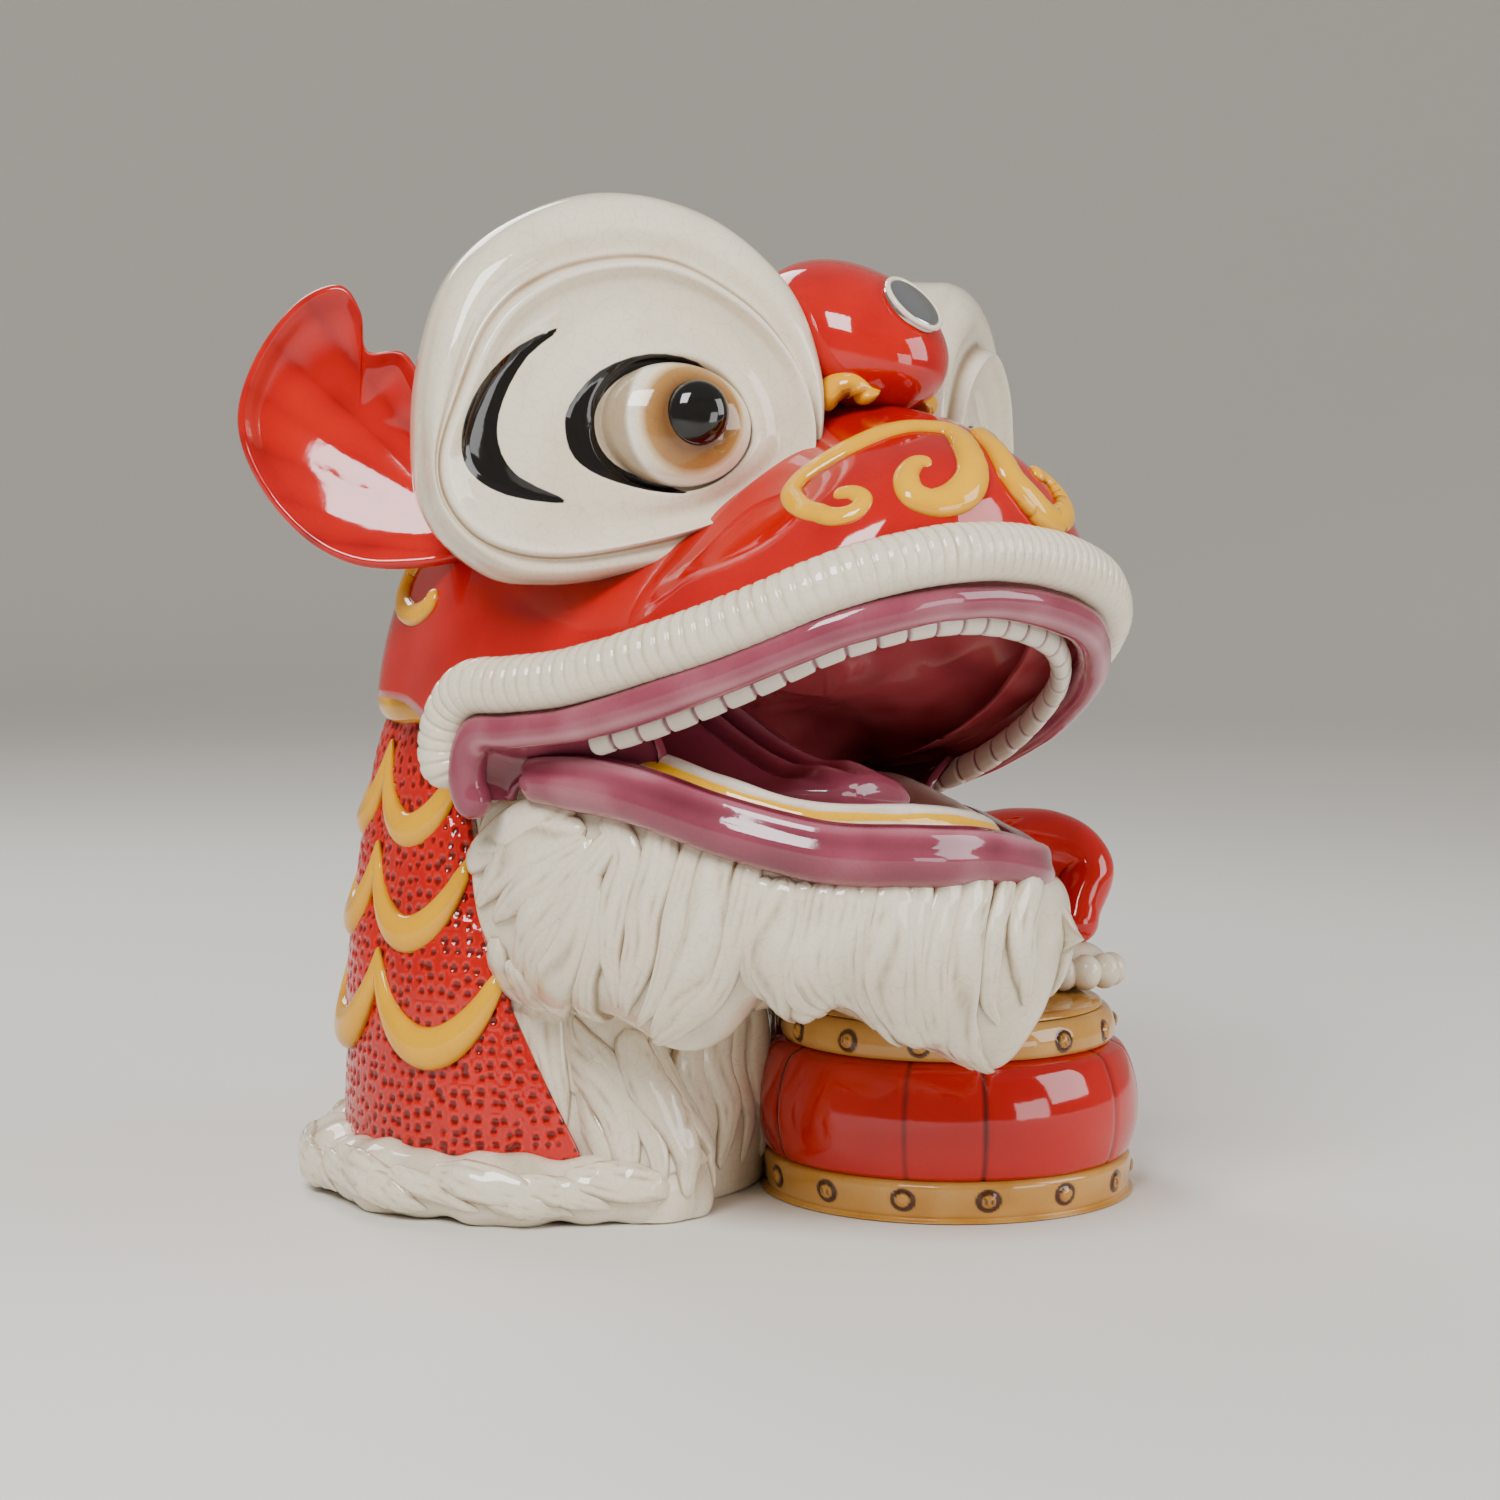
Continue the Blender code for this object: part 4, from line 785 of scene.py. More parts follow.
curlSet = {
    # each row is sideways from the middle line, front to back, up, and half the ribbon's width, in mm
    "nose": [(38.7, -78.7, 171.3, 1.4), (35.4, -83.2, 172.0, 1.6), (34.2, -86.7, 170.2, 1.7),
             (36.8, -86.1, 167.3, 1.8), (41.0, -81.2, 166.1, 1.9), (42.5, -73.3, 167.8, 2.0),
             (39.8, -66.6, 171.3, 2.1), (36.3, -65.5, 174.8, 2.2), (33.0, -67.4, 178.2, 2.4),
             (26.6, -72.1, 183.7, 2.6), (19.2, -76.0, 188.1, 2.5), (11.4, -80.9, 189.9, 2.3),
             (5.2, -86.0, 189.4, 2.5), (5.2, -93.3, 185.1, 2.9), (6.5, -98.2, 179.1, 3.1),
             (11.9, -99.6, 173.9, 3.1), (18.6, -98.0, 171.2, 2.6), (23.7, -94.7, 172.5, 2.6),
             (23.9, -91.4, 176.6, 2.2), (20.3, -90.5, 180.2, 1.8), (16.6, -93.0, 180.2, 1.5)],
    "horn": [(14.9, -52.2, 194.2, 2.2), (15.6, -52.8, 197.6, 3.2), (14.4, -54.2, 200.3, 3.8),
             (12.1, -56.8, 201.3, 3.8), (10.1, -58.6, 199.2, 3.6), (10.2, -58.2, 196.3, 3.2)],
    "cheek": [(56.5, 34.0, 159.0, 1.6), (58.0, 39.0, 156.5, 2.1), (59.0, 43.0, 152.0, 2.2),
              (59.5, 44.0, 147.0, 2.2),
              (60.5, 41.0, 141.5, 2.2), (63.5, 34.0, 139.5, 2.2), (65.5, 27.0, 142.0, 2.0),
              (65.0, 27.0, 146.0, 1.6)],
    "lean": 8.0, "leanStart": -78.0, "leanRun": 20.0, "swell": 1.35, "flat": 0.62,
}


def buildCurl(name, nodes, rows, side, surface, snapped=True):
    placed, away = [], []
    for x, y, z, half in smoothRows(rows, 12):
        middle = -curlSet["lean"] * min(max((curlSet["leanStart"] - y) / curlSet["leanRun"], 0), 1)
        point = Vector((middle + side * x, y, z))
        near, normal, _, _ = surface.find_nearest(point)
        placed.append((*(near if snapped else point), half * curlSet["swell"]))
        away.append(tuple(normal))
    path = np.array(placed)
    grid, angle = barGrid(path[:, :3], path[:, 3], 32, curlSet["flat"], np.array(away))
    relief = (0.75 * np.clip(np.cos(angle), -1, 1)[None] - 0.35) * np.ones((len(path), 1))
    piece = skin(name, toHead(grid), {"relief": relief + 0.2 * noise(grid, 5.0, 4)})
    addPiece(piece, nodes, yellowGlaze)


def shellTree():
    grid = shellGrid(90, 5)
    rows, cols = grid.shape[:2]
    index = np.arange(rows * cols).reshape(rows, cols)
    quads = np.stack([index[:-1, :-1], index[1:, :-1], index[1:, 1:], index[:-1, 1:]], -1).reshape(-1, 4)
    tree = BVHTree.FromPolygons([Vector(p) for p in grid.reshape(-1, 3)], quads.tolist())
    return tree


buildHorn()
surface = shellTree()
for side, label in ((-1, "right"), (1, "left")):
    buildEar(side, label)
    buildCurl(label + "NoseRibbon", [label + "_nose_curl", label + "_nose_scroll"], curlSet["nose"], side,
              surface)
    buildCurl(label + "HornRibbon", [label + "_horn_curl"], curlSet["horn"], side, surface, False)
    buildCurl(label + "CheekRibbon", [label + "_cheek_curl"], curlSet["cheek"], side, surface)
print("horn, ears and curls made")

# body
bodySet = {
    "sections": [(0.0, 58.0, 55.0), (20.0, 59.0, 56.0), (55.0, 57.0, 53.0), (85.0, 53.0, 50.0),
                 (108.0, 49.0, 46.0),
                 (124.0, 44.0, 42.0)],
    "capeEdge": [(17.0, 38.0), (50.0, 54.0), (85.0, 66.0), (122.0, 78.0)],
    "wall": 4.0, "pitCell": 3.3, "pitRadius": 0.95, "pitDeep": 0.48,
}
# piece, node, height of the tips, drop, first angle, how many, degrees apart, thickness
scaleRows = [("scaleRowOne", "scale_row_1", 113.0, 20.0, 72.0, 6, 36.0, 3.4),
             ("scaleRowTwo", "scale_row_2", 88.0, 20.0, 68.0, 6, 37.33, 3.6),
             ("scaleRowThree", "scale_row_3", 62.0, 21.0, 57.0, 6, 41.0, 4.0)]


def bodyAt(height, column):
    table = smoothRows(bodySet["sections"], 8)
    return np.interp(height, table[:, 0], table[:, column])


def bodyPoint(angle, height, outset=0.0):
    a = np.radians(angle)
    wide, deep = bodyAt(height, 1) + outset, bodyAt(height, 2) + outset
    return np.stack([wide * np.sin(a), bodyY - deep * np.cos(a), height * np.ones(np.shape(a))], -1)


def bodyAway(path):
    # level directions from the body's middle line
    away = path - np.array([0, bodyY, 0])
    away[:, 2] = 0
    return away

def buildCape():
    heights = np.linspace(12.5, 119.0, 148)[:, None]
    table = np.array(bodySet["capeEdge"])
    edge = np.interp(heights, table[:, 0], table[:, 1])
    share = np.linspace(0, 1, 370)[None]
    angle = edge + (360.0 - 2 * edge) * share
    arc = np.radians(angle) * 55.0
    up = heights * np.ones(arc.shape)
    deep, rim = pitted(arc, up, bodySet["pitCell"], bodySet["pitRadius"], 11)
    border = np.clip(np.minimum(share, 1 - share) * (360.0 - 2 * edge) * 0.96 / 1.6, 0, 1)
    lens = np.zeros(arc.shape)
    for tips, drop, first, count, step in [row[2:7] for row in scaleRows]:
        k = ((angle - first) % step) / step
        tall = np.abs(up - (tips - 0.15 * drop)) / (0.80 * drop)
        inside = (angle > first) * (angle < first + count * step)
        lens = np.maximum(lens, inside * np.clip(1 - ((k - 0.5) / 0.47) ** 2 - tall ** 2, 0, 1) ** 0.5)
    outer = bodyPoint(angle, up, 0.0)
    outer = raised(outer, border * (bodySet["pitDeep"] * (0.35 * rim - deep) + 1.6 * lens), wrap=False,
                   inside=(0, bodyY, 60))
    inner = bodyPoint(angle[:, ::-1], heights * np.ones(angle.shape), -bodySet["wall"])[:, ::30]
    grid = np.concatenate([outer, inner], 1)
    relief = np.concatenate([0.1 + 0.55 * rim - 1.5 * deep, np.zeros(inner.shape[:2])], 1)
    piece = skin("capeSkin", grid, {"relief": relief}, ends=False)
    work = bmesh.new()
    work.from_mesh(piece.data)
    bmesh.ops.holes_fill(work, edges=[e for e in work.edges if e.is_boundary], sides=0)
    bmesh.ops.triangulate(work, faces=[f for f in work.faces if len(f.verts) > 4])
    bmesh.ops.recalc_face_normals(work, faces=work.faces)
    work.to_mesh(piece.data)
    work.free()
    addPiece(piece, ["cape"], pitRed)


def buildScales():
    for name, node, tips, drop, first, count, step, thick in scaleRows:
        i = np.arange(count * 24 + 1)
        share = (i % 24) / 24
        angle = first + i / 24 * step
        height = tips - drop * np.sin(math.pi * share) ** 0.7
        path = bodyPoint(angle, height, 0.8)
        size = thick * (0.48 + 0.86 * np.sin(math.pi * share))
        grid, round_ = barGrid(path, size, 24, 0.62, bodyAway(path))
        piece = skin(name, grid, {"relief": (0.6 * np.cos(round_)[None] - 0.3) + 0.25 * noise(grid, 6.0, 3)})
        addPiece(piece, [node], yellowGlaze)
    angle = np.linspace(58, 302, 170)
    path = bodyPoint(angle, 123.5 + 0 * angle, 1.0)
    grid, round_ = barGrid(path, 5.0 + 0.3 * np.sin(np.radians(angle) * 9), 28, 0.9, bodyAway(path))
    piece = skin("neckRoll", grid, {"relief": 0.3 * np.cos(round_)[None] + 0.3 * noise(grid, 6.0, 5)})
    addPiece(piece, ["neck_roll"], yellowGlaze)


# width of a strand in mm, how flat a lock is, and how finely it is divided
furSet = {"strand": 2.3, "flat": 0.42, "points": 36, "sides": 22}
beardLocks = [
    [(-52, -28, 101), (-56, -36, 94), (-58, -34, 84), (-57, -31, 72), (-54, -30, 64), (-52, -26, 57)],
    [(-47, -42, 101), (-54, -45, 93), (-56, -42, 82), (-56, -40, 73), (-54, -34, 63), (-50, -28, 56)],
    [(-48, -53, 101), (-53, -52, 91), (-54, -50, 81), (-53, -47, 72), (-52, -40, 61), (-49, -31, 54)],
    [(-47, -59, 98), (-52, -59, 89), (-52, -57, 78), (-50, -51, 69), (-50, -42, 58), (-48, -34, 51)],
    [(-47, -66, 95), (-50, -66, 85), (-50, -62, 75), (-48, -53, 64), (-47, -41, 55), (-45, -32, 50)],
    [(-46, -70, 91), (-48, -69, 82), (-46, -65, 73), (-41, -62, 65), (-34, -59, 58)],
    [(-44, -74, 91), (-45, -72, 81), (-44, -69, 72), (-38, -67, 64), (-30, -64, 58)],
    [(-41, -77, 90), (-43, -77, 81), (-42, -74, 72), (-37, -72, 65), (-28, -69, 59)],
    [(-39, -81, 90), (-41, -81, 81), (-40, -78, 73), (-36, -76, 67), (-29, -74, 61), (-23, -74, 61)],
    [(-36, -85, 90), (-39, -85, 81), (-37, -82, 71), (-29, -79, 62), (-18, -76, 54)],
    [(-32, -87, 90), (-35, -87, 80), (-32, -85, 70), (-24, -82, 60), (-12, -80, 51)],
    [(-28, -90, 90), (-30, -91, 80), (-28, -89, 69), (-22, -87, 60), (-9, -84, 50)],
    [(-22, -91, 90), (-26, -94, 79), (-24, -93, 69), (-19, -90, 59), (-5, -84, 48)],
    [(-14, -91, 90), (-21, -97, 79), (-21, -96, 69), (-14, -91, 58), (0, -85, 48), (10, -82, 44)],
    [(-6, -91, 90), (-14, -99, 81), (-14, -97, 70), (-10, -93, 59), (0, -88, 50), (14, -83, 44)],
    [(2, -93, 88), (-6, -99, 80), (-6, -98, 71), (-4, -95, 64), (3, -92, 57)],
    [(12, -92, 88), (3, -98, 80), (4, -97, 71), (9, -93, 61)],
]
chestLocks = [
    [(-54, 8, 72), (-48, 14, 62), (-43, 16, 52), (-41, 16, 42), (-40, 14, 32), (-41, 10, 22)],
    [(-52, 4, 68), (-44, 8, 60), (-40, 12, 50), (-38, 13, 40), (-37, 11, 30), (-38, 8, 20)],
    [(-48, 0, 64), (-41, 6, 55), (-37, 9, 46), (-35, 9, 38), (-34, 8, 30)],
    [(-55, -20, 103), (-58, -8, 100), (-59, 4, 96), (-56, 20, 88)],
    [(-56, -33, 99), (-59, -26, 90), (-60, -18, 82), (-60, -9, 74), (-57, 0, 66)],
    [(-57, -28, 78), (-58, -22, 70), (-56, -14, 62), (-50, -4, 54)],
    [(-58, -24, 99), (-60, -11, 95), (-60, 2, 88), (-58, 15, 78)],
    [(-58, -18, 101), (-59, -3, 97), (-59, 10, 91), (-50, 28, 82)],
    [(-58, -26, 96), (-60, -16, 90), (-61, -4, 83), (-58, 9, 75)],
    [(-58, -27, 94), (-60, -20, 87), (-60, -11, 79), (-59, -2, 70), (-54, 8, 60)],
    [(-58, -26, 97), (-60, -22, 89), (-58, -16, 80), (-54, -7, 70), (-48, 4, 59), (-40, 14, 46)],
    [(-56, -26, 93), (-56, -25, 84), (-54, -20, 75), (-50, -9, 65), (-41, 8, 52), (-37, 13, 40)],
    [(-54, -30, 87), (-52, -27, 77), (-48, -20, 68), (-42, -8, 58), (-34, 8, 47), (-33, 10, 36)],
]
legLocks = [
    [(-40, 12, 53), (-38, 14, 43), (-35, 10, 34), (-31, 6, 25), (-32, 0, 18), (-36, -4, 9)],
    [(-37, 12, 58), (-34, 11, 43), (-33, 2, 35), (-30, -3, 27), (-30, -6, 18), (-32, -8, 7)],
    [(-32, 9, 50), (-30, 2, 41), (-28, -5, 31), (-26, -9, 24), (-25, -12, 16), (-26, -12, 5)],
    [(-28, -3, 47), (-26, -6, 38), (-24, -7, 32), (-20, -11, 24), (-18, -13, 16), (-19, -14, 6)],
    [(-22, -4, 44), (-18, -8, 32), (-13, -10, 22), (-9, -10, 14), (-9, -11, 6)],
]
frontLocks = [
    [(-8, -8, 62), (-4, -9, 48), (-6, -9, 34), (-1, -9, 20), (-3, -9, 7)],
    [(3, -8, 66), (6, -9, 50), (3, -9, 36), (8, -9, 22), (5, -9, 7)],
    [(13, -7, 64), (16, -8, 48), (12, -8, 34), (18, -7, 20), (15, -7, 7)],
    [(24, -3, 60), (26, -4, 44), (23, -4, 30), (28, -3, 16), (26, -3, 7)],
]


def nearestOn(*grids):
    points, faces = [], []
    for grid in grids:
        rows, cols = grid.shape[:2]
        index = np.arange(rows * cols).reshape(rows, cols) + len(points)
        index = np.concatenate([index, index[:, :1]], 1)
        faces += np.stack([index[:-1, :-1], index[:-1, 1:], index[1:, 1:],
                           index[1:, :-1]], -1).reshape(-1, 4).tolist()
        points += [Vector(point) for point in grid.reshape(-1, 3)]
    return BVHTree.FromPolygons(points, faces)


def buildLocks(name, node, lines, tree, inside, half, lift=0.6, ends=(0.7, 0.12), groove=0.5):
    # locks of modelled fur laid on a surface: flattened, tapering bars with strands along them
    points, faces, relief = [], [], []
    for number, line in enumerate(lines):
        placed, away = [], []
        for point in smoothRows(line, 9):
            near, normal, _, _ = tree.find_nearest(Vector(point))
            if normal.dot(near - Vector(inside)) < 0:
                normal = -normal
            placed.append(near + normal * lift)
            away.append(tuple(normal))
        path = evenly([tuple(q) for q in placed], furSet["points"])[0]
        away = np.array(away)[np.linspace(0, len(away) - 1, furSet["points"]).astype(int)]
        t = np.linspace(0, 1, furSet["points"])
        width = half * (0.92 + 0.22 * math.sin(number * 2.4))
        width = width * (ends[0] + (1 - ends[0]) * np.sin(math.pi * np.clip(t * 1.1, 0, 0.5)))
        width = width * (1 - (1 - ends[1]) * np.clip((t - 0.45) / 0.55, 0, 1) ** 1.7)
        grid, angle = barGrid(path, width, furSet["sides"], furSet["flat"], away)
        q = width[:, None] * np.sin(angle)[None] + 0.8 * np.sin(5.0 * t + number)[:, None]
        crest = ridges(q + 0.5 * number, furSet["strand"] * (0.85 + 0.15 * math.sin(number * 1.7)), 0.75)
        upper = np.clip(np.cos(angle)[None] + 0.25, 0, 1) * np.clip(width / half, 0, 1)[:, None]
        grid = raised(grid, groove * (crest - 0.6) * upper)
        start = len(points)
        index = np.arange(grid.shape[0] * grid.shape[1]).reshape(grid.shape[:2]) + start
        quads = np.stack([index[:-1], np.roll(index[:-1], -1, 1), np.roll(index[1:], -1, 1), index[1:]], -1)
        faces += quads.reshape(-1, 4).tolist()
        faces += [index[0].tolist()[::-1], index[-1].tolist()]
        points += (grid.reshape(-1, 3) + floorShift).tolist()
        edge = np.clip(np.abs(np.sin(angle))[None] - 0.75, 0, 1) * 4
        relief += ((crest - 0.7) * 0.75 * upper - 0.55 * edge + 0.08).ravel().tolist()
    piece = outward(meshPiece(name, points, faces, {"relief": relief}))
    addPiece(piece, [node], creamGlaze)


def mirroredLines(lines, middle):
    return [[(2 * middle - x, y, z) for x, y, z in line] for line in lines]


def chestGrid():
    angle = np.linspace(0, 360, 140, endpoint=False)[None]
    rows = []
    for height, inset, size in ((106.0, 9.0, 0.02), (106.0, 9.0, 0.5), (98.0, 9.0, 0.8), (85.0, 9.0, 0.96),
                                (60.0, 9.0, 1.0), (20.0, 9.0, 1.0), (0.2, 9.0, 1.0), (0.0, 7.5, 1.0),
                                (0.0, 5.6, 1.0),
                                (1.0, 4.8, 1.0)):
        ring = bodyPoint(angle, height * np.ones(angle.shape), -inset)[0]
        middle = np.array([0, bodyY, 0])
        ring[:, :2] = middle[:2] + (ring[:, :2] - middle[:2]) * size
        rows.append(ring)
    for height in np.linspace(3.0, 117.0, 60):
        rows.append(bodyPoint(angle, height * np.ones(angle.shape), -4.8)[0])
    grid = np.array(rows)
    push = np.zeros(grid.shape[:2])
    push[10:] = 0.5 * noise(grid[10:], 12.0, 3) + 0.2 * noise(grid[10:], 5.0, 4)
    return raised(grid, push, inside=(0, bodyY, 60))


def buildChest():
    grid = chestGrid()
    piece = skin("chestFur", grid, {"relief": 0.25 * noise(grid, 9.0, 5)})
    addPiece(piece, ["chest"], creamGlaze)
    tree = nearestOn(grid[10:], beardGrid())
    buildLocks("rightChestLocks", "chest", chestLocks, tree, (0, 30, 60), 5.4, 0.5, (0.6, 0.15), 0.45)
    buildLocks("leftChestLocks", "chest", mirroredLines(chestLocks, -4.0), tree, (0, 30, 60), 5.4, 0.5,
               (0.6, 0.15), 0.45)
    buildLocks("frontChestLocks", "chest", frontLocks, nearestOn(grid[10:]), (0, 30, 60), 6.2, 0.3,
               (0.5, 0.2), 0.4)


def buildBaseFur():
    angle = np.linspace(46, 344, 360)
    path = bodyPoint(angle, 8.0 + 0 * angle, 1.5)
    size = 8.4 + 0.9 * np.sin(np.radians(angle) * 11) + 0.5 * np.sin(np.radians(angle) * 27)
    grid = barGrid(path, size, 36, 1.0, bodyAway(path))[0]
    grid = raised(grid, 0.5 * noise(grid, 8.0, 5))
    grid[..., 2] = np.maximum(grid[..., 2], 0.0)
    piece = skin("baseFurRoll", grid, {"relief": 0.3 * noise(grid, 7.0, 9)})
    addPiece(piece, ["base_fur"], creamGlaze)
    # long locks that run along the roll, at three heights in turn
    lines = []
    for k, start in enumerate(np.arange(48.0, 322.0, 10.0)):
        span = 24.0 + 5.0 * math.sin(k * 1.9)
        turn = start + span * np.linspace(0, 1, 6)
        low = (14.5, 10.0, 12.5)[k % 3]
        height = low - 7.5 * np.linspace(0, 1, 6) ** 1.2
        out = 9.0 + 1.5 * np.sin(math.pi * np.linspace(0, 1, 6))
        lines.append([tuple(bodyPoint(a, h, o)) for a, h, o in zip(turn, height, out)])
    buildLocks("baseLocks", "base_fur", lines, nearestOn(grid), (0, bodyY, 5), 4.6, 0.1, (0.4, 0.1), 0.4)


def buildLeg():
    rows = smoothRows([(-25.0, 11.0, 74.0, 11.0), (-24.0, 7.0, 52.0, 10.5), (-20.5, 3.0, 30.0, 12.0),
                       (-17.5, 1.0, 15.0, 15.5), (-17.0, 0.5, 6.0, 16.2), (-17.0, 0.5, 0.6, 14.8)], 24)
    grid, round_ = barGrid(rows[:, :3], rows[:, 3], 90, 1.0, np.tile([0.0, -1.0, 0.0], (len(rows), 1)),
                           (False, False))
    toes = np.abs(np.sin(round_ * 2.5))[None] ** 0.6 * np.clip((12 - rows[:, 2]) / 10, 0, 1)[:, None]
    grid = raised(grid, 1.0 * (toes - 0.5) * (toes > 0) + 0.35 * noise(grid, 9.0, 2))
    grid[..., 2] = np.maximum(grid[..., 2], 0.0)
    piece = skin("forelegBody", grid, {"relief": 0.5 * (toes - 0.5) * (toes > 0) + 0.2 * noise(grid, 7.0, 2)})
    addPiece(piece, ["right_foreleg"], creamGlaze)
    buildLocks("forelegLocks", "right_foreleg", legLocks, nearestOn(grid), (-19, 3, 25), 5.4, 0.2,
               (0.6, 0.25), 0.4)


beardSet = {
    # size of the ring round the lip, height above or below the lip, how far the locks pull it down
    "sections": [(0.86, 0.0, 0.0), (1.0, -4.0, 0.05), (1.05, -14.0, 0.3), (1.02, -25.0, 0.6),
                 (0.92, -35.0, 0.9),
                 (0.76, -41.0, 1.0), (0.45, -40.0, 0.6)],
    "locks": [(-180, 0.0), (-120, 0.0), (-104, 2.0), (-92, 6.0), (-78, 4.0), (-62, -8.0), (-48, -2.0),
              (-36, -8.0),
              (-20, 2.0), (-8, 4.0), (6, 9.0), (18, 12.0), (28, 4.0), (36, -2.0), (48, -2.0), (60, 2.0),
              (90, 0.0),
              (180, 0.0)],
    "level": 95.0, "middle": (0.0, -38.0),
}


def beardGrid():
    rim = wholeRim(rimSet["lower"] + [(56.0, 14.0, 100.0, 4.0)])
    path = evenly(smoothRows(rim, 8), 200)[0]
    middle = np.array(beardSet["middle"])
    away = path[:, :2] - middle
    turn = np.degrees(np.arctan2(away[:, 0], -away[:, 1]))
    table = smoothRows(beardSet["locks"], 6)
    lock = np.interp(turn, table[:, 0], table[:, 1])
    lip = toHead(path[:, :3])[:, 2]
    back = np.linspace(0, 1, 30)[1:-1]
    rows = []
    for size, height, reach in smoothRows(beardSet["sections"], 14):
        reach = max(reach, 0.0)
        level = lip + (beardSet["level"] - lip) * reach ** 0.5 + height - lock * reach
        ring = np.concatenate([middle + away * size, level[:, None]], 1)
        x = ring[-1, 0] * (1 - back) + ring[0, 0] * back
        z = ring[-1, 2] * (1 - back) + ring[0, 2] * back
        rows.append(np.concatenate([ring, np.stack([x, np.full(len(x), 20.0), z], 1)], 0))
    grid = np.array(rows)
    return raised(grid, 0.4 * noise(grid, 9.0, 21), inside=(0, -30, 75))


def buildBeard():
    grid = beardGrid()
    piece = skin("beardFur", grid, {"relief": 0.25 * noise(grid, 7.0, 22)})
    addPiece(piece, ["beard"], creamGlaze)
    far = mirroredLines([line for line in beardLocks if line[1][0] < -37], -9.5)
    buildLocks("beardLocks", "beard", beardLocks + far, nearestOn(grid), (0, -30, 75), 5.0, 0.5)


buildCape()
buildScales()
buildChest()
buildBaseFur()
buildLeg()
buildBeard()
print("body made")

# arm and drum
drumSet = {
    "centre": (59.0, -30.0), "staves": 15,
    "shell": [(39.0, 38.8), (41.2, 38.3), (45.0, 36.0), (47.7, 29.0), (48.4, 22.0), (47.7, 15.5),
              (45.8, 10.6),
              (43.0, 10.3)],
    "lower": [(43.0, 10.2), (45.4, 10.0), (46.7, 8.6), (46.4, 4.0), (45.9, 1.2), (43.4, 0.0), (0.02, 0.0)],
    "upper": [(36.5, 46.9), (39.6, 47.0), (41.4, 45.5), (42.5, 42.0), (41.7, 38.8), (39.0, 38.6)],
    "skin": [(0.02, 49.4), (30.0, 49.3), (35.8, 49.0), (38.4, 48.4), (39.1, 47.3), (37.0, 47.2)],
}


def drumGrid(profile, steps, cols=260):
    rows = smoothRows(profile, steps)
    b = around(cols)[None]
    return revolved(rows, b) + np.array([*drumSet["centre"], 0.0]), b


def buildDrum():
    x, y = drumSet["centre"]
    grid, b = drumGrid(drumSet["shell"], 9)
    near = np.abs(((b * drumSet["staves"] / (2 * math.pi) + 0.3) % 1.0) - 0.5) * 2
    seam = np.clip(1 - (1 - near) / 0.05, 0, 1)
    piece = skin("drumBody", raised(grid, -0.55 * seam * np.ones(grid.shape[:1])[:, None], inside=(x, y, 24)),
                 {"relief": 0.1 - 1.2 * seam + 0.2 * noise(grid, 12.0, 3)})
    addPiece(piece, ["drum_body"], redGlaze)
    for name, node, profile, level, count, start in (("drumLowerBand", "drum_lower_band", "lower", 5.6, 14,
                                                      0.1),
                                                     ("drumUpperBand", "drum_upper_band", "upper", 42.4, 14,
                                                      0.25)):
        grid, b = drumGrid(drumSet[profile], 7, 400)
        height = np.zeros(grid.shape[:2])
        relief = 0.15 + 0.25 * noise(grid, 7.0, 8)
        for k in range(count):
            a = 2 * math.pi * (k + start) / count
            turnBy = (b - a + math.pi) % (2 * math.pi) - math.pi
            far = np.hypot(turnBy * 42.0, grid[..., 2] - level)
            outer = np.hypot(grid[..., 0] - x, grid[..., 1] - y) > 35
            height += np.where(outer, 1.0 * np.sqrt(np.clip(1 - (far / 1.9) ** 2, 0, 1)), 0)
            relief += np.where(outer, -2.0 * np.exp(-((far - 2.3) / 0.45) ** 2)
                               - 0.8 * np.exp(-((far - 0.8) / 0.2) ** 2), 0)
        piece = skin(name, raised(grid, height, inside=(x, y, level)), {"relief": relief})
        addPiece(piece, [node], tanGlaze)
    grid, b = drumGrid(drumSet["skin"], 7, 120)
    piece = skin("drumSkin", grid, {"relief": 0.1 + 0.4 * noise(grid, 11.0, 5)})
    addPiece(piece, ["drum_skin"], tanGlaze)


pawSet = {
    # radii and place of each ball
    "pawPad": ((9.4, 9.8, 6.2), (87.5, -47.0, 55.4)), "firstToe": ((3.6, 4.2, 4.4), (78.6, -51.6, 54.2)),
    "secondToe": ((3.8, 4.2, 4.6), (82.4, -56.0, 54.6)), "thirdToe": ((3.8, 4.2, 4.6), (88.0, -57.6, 54.6)),
    "fourthToe": ((3.6, 4.2, 4.4), (93.6, -55.2, 54.2)),
}

def buildArm():
    rows = smoothRows([(48.0, 12.0, 76.0, 11.0), (69.0, -11.0, 80.0, 10.5), (89.0, -33.0, 85.0, 9.6),
                       (95.0, -45.0, 80.0, 7.6), (89.5, -47.5, 69.0, 5.8), (87.0, -48.0, 61.0, 5.8)], 16)
    grid = barGrid(rows[:, :3], rows[:, 3], 60, 1.0, np.tile([0.3, -0.2, 1.0], (len(rows), 1)))[0]
    piece = skin("leftArmSkin", raised(grid, 0.3 * noise(grid, 8.0, 3)),
                 {"relief": 0.25 * noise(grid, 8.0, 5)})
    addPiece(piece, ["left_arm"], redGlaze)
    # a small pad with four round toes that grip the drum's edge
    a = np.linspace(0.02, math.pi - 0.02, 34)[:, None]
    b = around(48)[None]
    ball = np.stack([np.sin(a) * np.cos(b), np.sin(a) * np.sin(b), np.cos(a) * np.ones(b.shape)], -1)
    for name, (radii, place) in pawSet.items():
        grid = ball * np.array(radii) + np.array(place)
        piece = skin(name, grid, {"relief": 0.2 * noise(grid, 4.0, 5) - 0.6 * np.clip(-ball[..., 2] - 0.3, 0,
                                                                                      1)})
        addPiece(piece, ["left_paw"], creamGlaze)


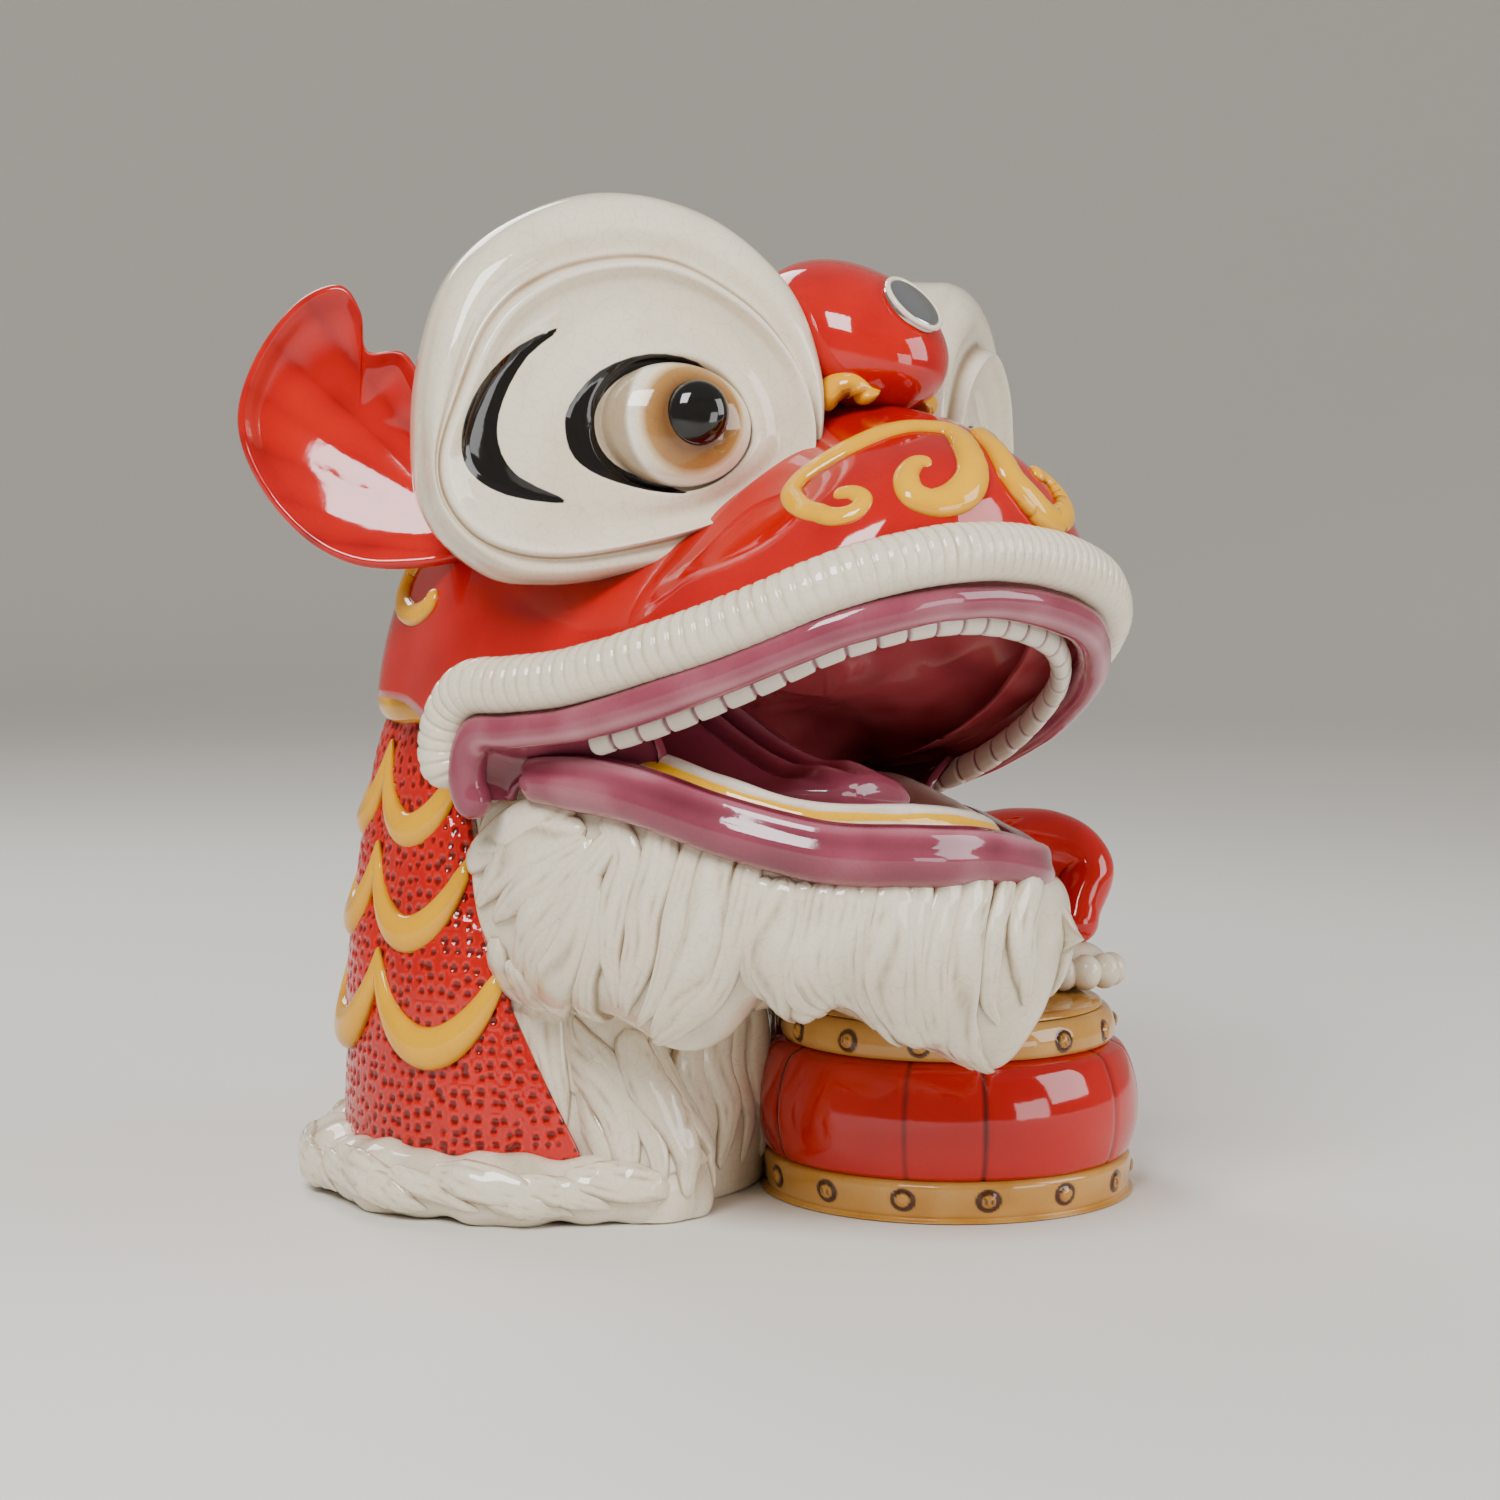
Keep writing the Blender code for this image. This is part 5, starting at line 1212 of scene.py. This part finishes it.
buildDrum()
buildArm()
print("drum and arm made")

# floor, light and camera
# a seamless sweep: a flat floor that curves up into a wall all round
sweep = smoothRows([(0.000002, 0.0), (0.6, 0.0), (1.3, 0.0), (1.9, 0.08), (2.4, 0.5), (2.65, 1.2),
                    (2.7, 2.0)], 8) * 1000
b = around(88)[None]
floor = skin("floor", revolved(sweep, b) - floorShift, ends=False)
paper = bpy.data.materials.new("matteStudioPaper")
paper.use_nodes = True
paper.node_tree.nodes["Principled BSDF"].inputs["Base Color"].default_value = linear("#DEDBD5")
paper.node_tree.nodes["Principled BSDF"].inputs["Roughness"].default_value = 0.9
floor.data.materials.append(paper)

world = bpy.data.worlds.new("studio")
bpy.context.scene.world = world
world.use_nodes = True
world.node_tree.nodes["Background"].inputs["Color"].default_value = linear("#E9E6E1")
world.node_tree.nodes["Background"].inputs["Strength"].default_value = 0.46
lightSet = {
    # place and size in metres, power in watts
    "windowLight": ((-0.75, -0.35, 0.85), 0.45, 14.5), "fillLight": ((0.60, -0.95, 0.5), 0.6, 7.0),
    "lowLight": ((0.1, -1.1, 0.12), 0.4, 2.5), "backLight": ((0.2, 0.9, 0.9), 0.5, 7.0),
}
for name, (place, size, power) in lightSet.items():
    light = bpy.data.lights.new(name, "AREA")
    light.energy = power
    light.size = size
    lamp = bpy.data.objects.new(name, light)
    bpy.context.scene.collection.objects.link(lamp)
    lamp.location = place
    lamp.rotation_euler = (Vector((0, 0, 0.12)) - lamp.location).to_track_quat("-Z", "Y").to_euler()

cameraSet = {"azimuth": -45.0, "pitch": 4.5, "distance": 0.740, "target": (-0.02071, -0.03173, 0.115),
             "lens": 75.0}
camera = bpy.data.objects.new("camera", bpy.data.cameras.new("camera"))
bpy.context.scene.collection.objects.link(camera)
camera.data.lens = cameraSet["lens"]
camera.data.sensor_width = 36.0
camera.data.sensor_fit = "HORIZONTAL"
a, e = math.radians(cameraSet["azimuth"]), math.radians(cameraSet["pitch"])
back = Vector((math.sin(a) * math.cos(e), -math.cos(a) * math.cos(e), math.sin(e)))
camera.location = Vector(cameraSet["target"]) + back * cameraSet["distance"]
camera.rotation_euler = (-back).to_track_quat("-Z", "Y").to_euler()
bpy.context.scene.camera = camera
